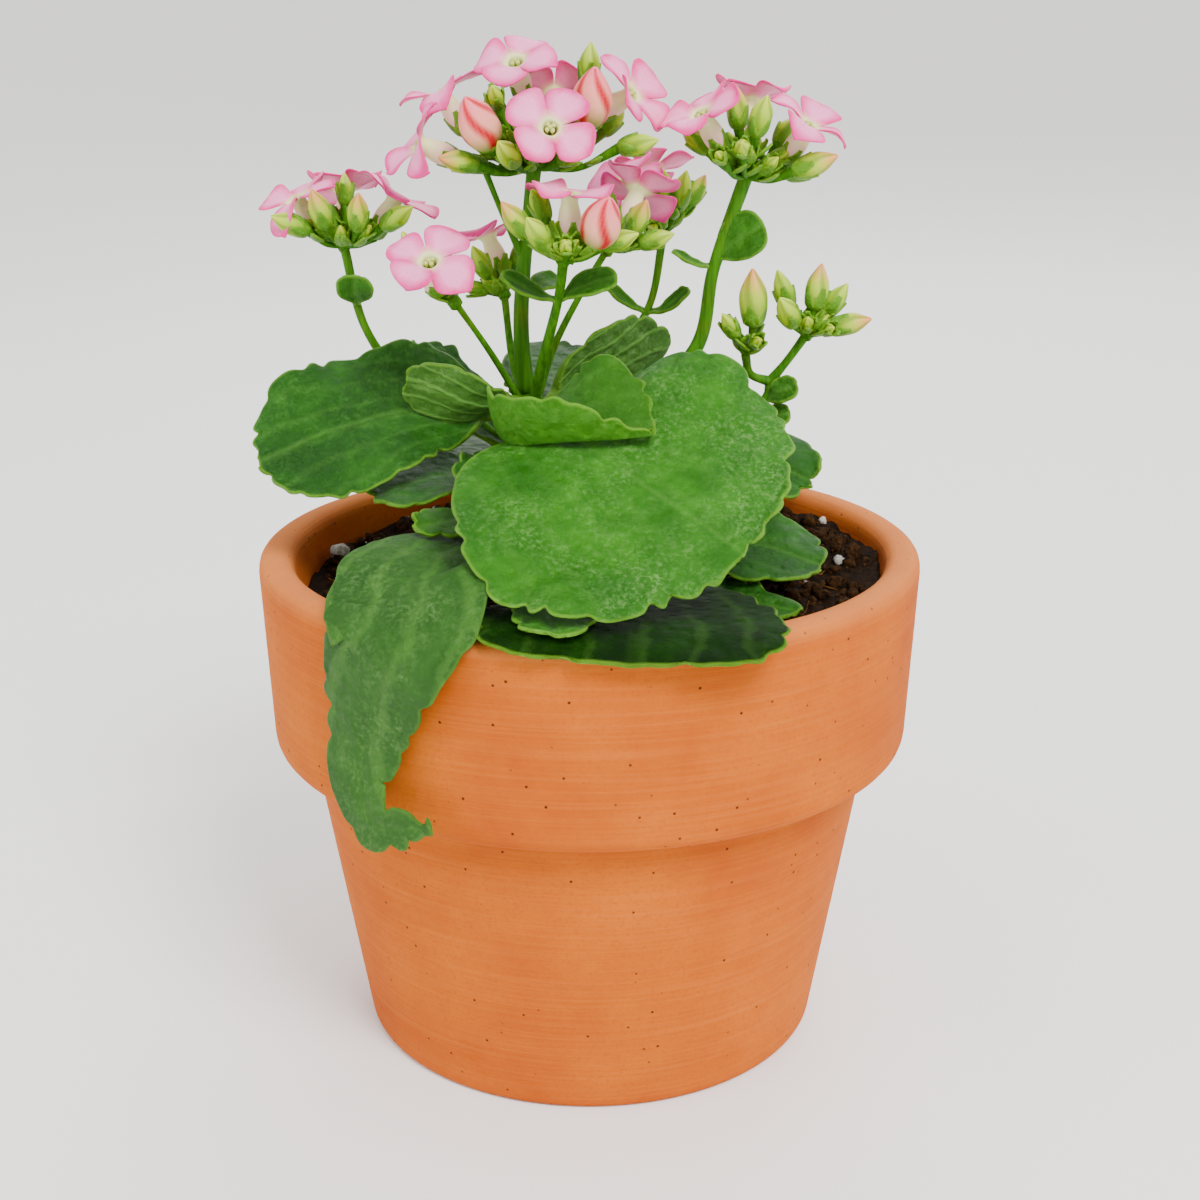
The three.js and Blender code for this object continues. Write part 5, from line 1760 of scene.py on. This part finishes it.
    def stalks(self) -> list[Stalk]:
        """The flower stalks."""
        return [
            Stalk(
                "stalk_top",
                [(-10.9, 0.4, 36.2), (-11.5, 0.5, 46), (-11, 1, 56), (-9, 0, 73)],
                (1.35, 1.15),
                [([(-11, 1, 58), (-14, -1, 65), (-17, -3, 73)], 0.5)],
                [Bract([(-10.7, 1, 52), (-8, 4, 53.5), (-5, 7, 54)], (0, -0.6, 0.8), 5)],
            ),
            Stalk(
                "stalk_front",
                [(-9.5, -1, 33), (-8, -7, 41), (-5, -12, 53), (-4, -16, 60)],
                (0.95, 0.8),
                bracts=[
                    Bract([(-5, -12, 53), (-9, -12.5, 54.5), (-14, -13, 57.5)], (0, -0.5, 0.9), 4.5),
                    Bract([(-5, -12, 53), (-1, -12.5, 55.5), (4.5, -13, 57)], (0, -0.7, 0.7), 5.5),
                ],
            ),
            Stalk("stalk_inner", [(-9, 2, 34), (-6, 3.5, 43), (-1, 1, 53), (3, -2, 60)], (0.65, 0.55)),
            Stalk(
                "stalk_rear",
                [(-7.5, 2, 25), (0, 13, 34.5), (10, 20, 46), (13, 21, 60)],
                (0.85, 0.7),
                bracts=[
                    Bract([(10, 20, 46), (6.5, 20, 48), (3, 20, 51)], (0, -0.5, 0.9), 3),
                    Bract([(10, 20, 46), (13.5, 19.5, 47), (17.5, 19, 50.5)], (0, -0.5, 0.9), 3.5),
                ],
            ),
            Stalk(
                "stalk_right",
                [(-7, 1, 20), (6, 3.5, 31), (18, 5, 42), (21, 5, 56), (26, 5, 71)],
                (1.4, 1.1),
                bracts=[
                    Bract([(21, 5, 57), (24.5, 3.5, 60.5), (29, 2.5, 63.5)], (-0.1, -0.9, 0.4), 8.5),
                    Bract([(21, 5, 56), (17.5, 5, 57), (14, 5, 59)], (0, -0.3, 0.9), 2.6),
                ],
            ),
            Stalk(
                "stalk_low_right",
                [(-4, 1.5, 9), (9, 5, 17), (22, 6, 23), (30, 5, 33), (31, 5, 36)],
                (1, 0.8),
                bracts=[
                    Bract([(30, 5, 33), (32, 3, 35), (35.5, 2, 36.5)], (0.1, -0.8, 0.6), 5),
                    Bract([(27.5, 5.5, 29), (30.5, 3.5, 30.5), (34.5, 2.5, 31.5)], (0, -0.8, 0.6), 4.5),
                ],
            ),
            Stalk(
                "stalk_left",
                [(-6.5, 2, 18), (-19, 9, 28), (-32, 12, 35), (-39, 10.5, 45), (-42, 10, 59)],
                (0.95, 0.75),
                bracts=[Bract([(-40, 9.6, 49), (-40, 7, 51.5), (-39.6, 6, 54.5)], (0, -0.95, 0.3), 6.8)],
            ),
            Stalk("stalk_front_left", [(-10.5, -0.5, 32), (-16, -6, 43), (-21.5, -13, 53)], (0.6, 0.5)),
            Stalk("stalk_rear_left", [(-11, 1.5, 33), (-13.5, 9, 40), (-15, 15, 50)], (0.75, 0.65)),
        ]

    def trusses(self) -> list[Truss]:
        """The flower heads."""
        tipped, opening = BudStage.TIPPED, BudStage.OPENING
        twin = (26.5, 3, 41.5)
        return [
            Truss(
                "truss_top",
                (-9, 0, 73),
                [
                    Flower((-12, 2.5, 89.5), (-0.15, -0.6, 0.8), 20),
                    Flower((-24.5, 7.5, 84.5), (-0.5, 0.1, 0.85), 45),
                    Flower((-6, -12, 80), (0.05, -0.85, 0.5), 15),
                    Flower((7, 2, 84.5), (0.8, -0.35, 0.5), 40),
                    Flower((-6, 14, 84), (0.1, 0.7, 0.75), 0),
                    Flower((-27.5, -3.5, 77), (-0.9, -0.15, 0.4), 30),
                ],
                [
                    Bud((-17.5, -9, 80.5), (-0.35, -0.5, 0.8), 1.3, opening),
                    Bud((0.5, -2, 84), (0.1, -0.3, 0.95), 1.3, opening),
                    Bud((-15, -5, 84.5), (-0.1, -0.8, 0.6), 0.7),
                    Bud((0, 6, 89), (0.1, 0, 1), 0.9),
                    Bud((-13, -9.5, 76), (-0.3, -0.7, 0.5), 0.9),
                    Bud((-21, -7, 74.5), (-0.8, -0.5, 0.2), 0.9, tipped),
                    Bud((8, -5, 77), (0.85, -0.4, 0.2), 0.9),
                    Bud((-16, 10, 82), (-0.3, 0.6, 0.8), 0.9),
                    Bud((4, 11, 80), (0.5, 0.6, 0.6), 0.9),
                ],
            ),
            Truss(
                "truss_front",
                (-4, -16, 60),
                [Flower((-3, -15, 70), (0, -0.1, 1), 10)],
                [
                    Bud((2, -21, 66.5), (0.25, -0.55, 0.8), 1.25, opening),
                    Bud((-11.5, -17, 66.5), (-0.6, -0.2, 0.8), 0.9, tipped),
                    Bud((-8, -21.5, 65), (-0.4, -0.6, 0.7), 0.9),
                    Bud((-3.5, -22.5, 63), (0, -0.9, 0.35), 0.6),
                    Bud((5, -18.5, 63.5), (0.9, -0.3, 0.35), 0.8),
                    Bud((-8, -9.5, 68), (-0.4, 0.6, 0.8), 0.8),
                ],
            ),
            Truss(
                "truss_inner",
                (3, -2, 60),
                [Flower((8, 3, 69), (0.3, 0.5, 0.8), 0)],
                [
                    Bud((8, -9, 66), (0.35, -0.5, 0.8), 0.9, tipped),
                    Bud((11, -5, 62), (0.9, -0.3, 0.3), 0.8),
                    Bud((3, 3, 67), (-0.2, 0.4, 0.9), 0.8),
                ],
            ),
            Truss(
                "truss_right",
                (26, 5, 71),
                [
                    Flower((18, -1, 81.5), (-0.5, -0.35, 0.8), 20),
                    Flower((27, 14, 83), (0.1, 0.3, 0.9), 10),
                    Flower((36, 3, 79.5), (0.5, -0.2, 0.85), 35),
                ],
                [
                    Bud((24, 0.5, 82.5), (-0.1, -0.2, 1), 0.9, tipped),
                    Bud((27.5, -5, 81.5), (0.2, -0.5, 0.85), 0.95),
                    Bud((24.5, -6, 76.5), (-0.1, -0.9, 0.35), 0.7),
                    Bud((21, -4.5, 75), (-0.3, -0.8, 0.4), 0.5),
                    Bud((37, 0, 73.5), (0.9, -0.2, 0.35), 1, tipped),
                    Bud((36, 8, 71.5), (0.9, 0.25, 0.05), 0.85),
                    Bud((17.5, 6, 77), (-0.7, 0.2, 0.6), 0.8),
                    Bud((33, 11, 78), (0.5, 0.6, 0.7), 0.8),
                ],
            ),
            Truss(
                "truss_rear",
                (13, 21, 60),
                [
                    Flower((6, 19, 69), (-0.5, -0.2, 0.8), 10),
                    Flower((11, 30, 70), (-0.1, 0.5, 0.8), 40),
                ],
                [
                    Bud((12.5, 17.5, 68.5), (-0.1, -0.3, 0.95), 0.9),
                    Bud((16, 17, 68), (0.2, -0.3, 0.95), 0.85),
                    Bud((9.5, 15.5, 65), (-0.3, -0.8, 0.6), 0.7),
                    Bud((11, 16, 61), (-0.1, -1, 0.1), 0.6),
                    Bud((19, 25, 67), (0.5, 0.4, 0.8), 0.8, tipped),
                ],
            ),
            Truss(
                "truss_low_right",
                (37, 4, 45),
                [],
                [
                    Bud((33, 7, 52), (-0.3, 0.2, 0.95), 0.9),
                    Bud((33, -0.5, 49.5), (-0.4, -0.6, 0.7), 0.95),
                    Bud((38.5, 4, 53), (0.15, 0, 1), 1, tipped),
                    Bud((42, 6, 50.5), (0.6, 0.2, 0.8), 0.85),
                    Bud((44, 2, 47), (0.95, -0.2, 0.25), 0.95, tipped),
                    Bud((40, -0.5, 46.5), (0.4, -0.9, 0.3), 0.5),
                    Bud((27.5, 2, 51.5), (-0.05, -0.1, 1), 1.25, tipped, twin),
                    Bud((23.5, 0.5, 47), (-0.5, -0.4, 0.8), 0.7, start=twin),
                    Bud((28, -1.5, 44.5), (0.2, -0.9, 0.4), 0.5, start=twin),
                ],
                [
                    [(31, 5, 36.5), (34, 4.5, 40.5), (37, 4, 45)],
                    [(31, 5, 36.5), (27.5, 4, 38), (26.5, 3, 41.5)],
                ],
            ),
            Truss(
                "truss_left",
                (-42, 10, 59),
                [
                    Flower((-49.5, 9, 67), (-0.5, -0.1, 0.85), 20),
                    Flower((-33, 11, 67), (0.5, 0, 0.85), 35),
                    Flower((-42.5, 18.5, 67.5), (-0.05, 0.4, 0.9), 10),
                ],
                [
                    Bud((-50, 3.5, 63.5), (-0.8, -0.4, 0.4), 0.9),
                    Bud((-45, 3.5, 66), (-0.25, -0.4, 0.9), 0.95, tipped),
                    Bud((-38.5, 3.5, 65.5), (0.1, -0.4, 0.9), 0.9, tipped),
                    Bud((-32, 4.5, 64.5), (0.75, -0.4, 0.5), 0.9),
                    Bud((-41.5, 10.5, 68.5), (0, 0, 1), 0.7),
                ],
            ),
            Truss(
                "truss_rear_left",
                (-15, 15, 50),
                [Flower((-18, 20, 59.5), (-0.35, 0.1, 0.9), 30)],
                [
                    Bud((-19, 13, 56), (-0.4, -0.3, 0.9), 0.8),
                    Bud((-20, 14, 51), (-0.9, -0.3, 0.1), 0.6),
                    Bud((-12, 20, 57), (0.4, 0.4, 0.8), 0.8),
                ],
            ),
            Truss(
                "truss_front_left",
                (-21.5, -13, 53),
                [Flower((-25, -17.5, 60), (-0.1, -0.65, 0.75), 10)],
                [
                    Bud((-28.5, -9, 60.5), (-0.45, 0.2, 0.9), 0.9),
                    Bud((-24, -8, 59), (0.1, 0.4, 0.9), 0.7),
                ],
            ),
        ]

    def build(self) -> None:
        """Builds the stem, the leaves, the stalks and the flower heads."""
        maker = MeshMaker()
        maker.add(*tube(self.neck.lift(self.stem_points), self.stem_radii, sides=20, step=0.8))
        place(maker.build("main_stem", [self.finishes.stalk]), "stem", "main_stem")
        for leaf in self.leaves():
            piece = leaf.build(self.neck, self.finishes.skins)
            place(piece, "leaf", leaf.name)
            log.info("built %s", leaf.name)
        for stalk in self.stalks():
            stalk.build(self.neck, self.finishes.stalk, self.finishes.skins(LeafTone.BRIGHT))
            log.info("built %s", stalk.name)
        for truss in self.trusses():
            truss.build(self.neck, self.finishes)
            log.info("built %s with %d flowers", truss.name, len(truss.flowers))


# ---------------------------------------------------------------- studio


@dataclass
class Studio:
    """The plain pale floor, the soft lights and the camera."""

    camera_at: Point = (1.75, -309.0, 177.0)
    camera_pitch: float = 18.0
    lens: float = 55.44
    floor_colour: str = "#fbfaf8"
    floor_roughness: float = 0.9
    sky_strength: float = 1.2
    floor_reach: float = 0.9  # how far out the floor is level, in metres
    floor_curve: float = 2.6  # how much further out it goes as it curves up, and how high it gets

    def floor(self) -> None:
        """Lays a plain pale floor."""
        material, _, shader = new_material("studio_floor")
        shader.inputs["Base Color"].default_value = linear(self.floor_colour)
        shader.inputs["Roughness"].default_value = self.floor_roughness
        # A wide round floor that curves up slowly, so that no horizon shows.
        sides, curve = 96, self.floor_curve
        profile = [(self.floor_reach + curve * t, curve * t**2.5) for t in np.linspace(0, 1, 30)]
        angles = np.linspace(0, math.tau, sides, endpoint=False)
        points = [(0.0, 0.0, 0.0)]
        points += [(r * math.cos(a), r * math.sin(a), z) for r, z in profile for a in angles]
        faces = [(0, 1 + k, 1 + (k + 1) % sides) for k in range(sides)]
        outer = grid_faces(len(profile), sides, closed=True, flip=True)
        faces += [tuple(i + 1 for i in face) for face in outer]
        mesh = bpy.data.meshes.new("studio_floor")
        mesh.from_pydata(points, [], faces)
        mesh.polygons.foreach_set("use_smooth", [True] * len(mesh.polygons))
        mesh.materials.append(material)
        floor = bpy.data.objects.new("studio_floor", mesh)
        bpy.context.scene.collection.objects.link(floor)
        floor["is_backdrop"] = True

    def lamp(self, name: str, at: Point, power: float, size: float) -> None:
        """Hangs a soft square light that looks at the plant.

        Args:
            name: Its name.
            at: Where it hangs, in metres.
            power: Its power, in watts.
            size: Its side, in metres.
        """
        data = bpy.data.lights.new(name, "AREA")
        data.energy = power
        data.size = size
        made = bpy.data.objects.new(name, data)
        made.location = at
        plant_middle = Vector((0, 0, 0.09))
        made.rotation_euler = (Vector(at) - plant_middle).to_track_quat("Z", "Y").to_euler()
        bpy.context.scene.collection.objects.link(made)

    def build(self) -> None:
        """Sets up the floor, the lights, the sky and the camera."""
        self.floor()
        self.lamp("key_light", (0.35, -0.75, 0.95), 18.0, 0.4)
        self.lamp("fill_light", (-0.9, -0.5, 0.5), 3.5, 0.8)
        self.lamp("back_light", (0.2, 0.9, 0.8), 6.0, 0.7)
        world = bpy.data.worlds.new("studio")
        world.use_nodes = True
        sky = world.node_tree.nodes["Background"]
        sky.inputs["Color"].default_value = linear("#ffffff")
        sky.inputs["Strength"].default_value = self.sky_strength
        bpy.context.scene.world = world
        data = bpy.data.cameras.new("camera")
        data.lens = self.lens
        camera = bpy.data.objects.new("camera", data)
        camera.location = Vector(self.camera_at) * MM
        camera.rotation_euler = (math.radians(90 - self.camera_pitch), 0, 0)
        bpy.context.scene.collection.objects.link(camera)
        bpy.context.scene.camera = camera


def corners(box: Sequence[Vector]) -> list[list[float]]:
    """Turns a box's corners into plain lists."""
    return [list(corner) for corner in box]


def main() -> None:
    """Builds everything in order."""
    logging.basicConfig(level=logging.INFO)
    cad_box = corners(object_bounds())
    pot = Pot()
    pot.build(Terracotta().material())
    log.info("built the pot, %.1f mm tall", pot.height)
    Soil(pot).build()
    log.info("built the soil")
    Kalanchoe(Neck(pot)).build()
    Studio().build()
    bpy.context.view_layer.update()
    {"cad": cad_box, "visual": corners(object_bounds())}


if __name__ == "__main__":
    main()
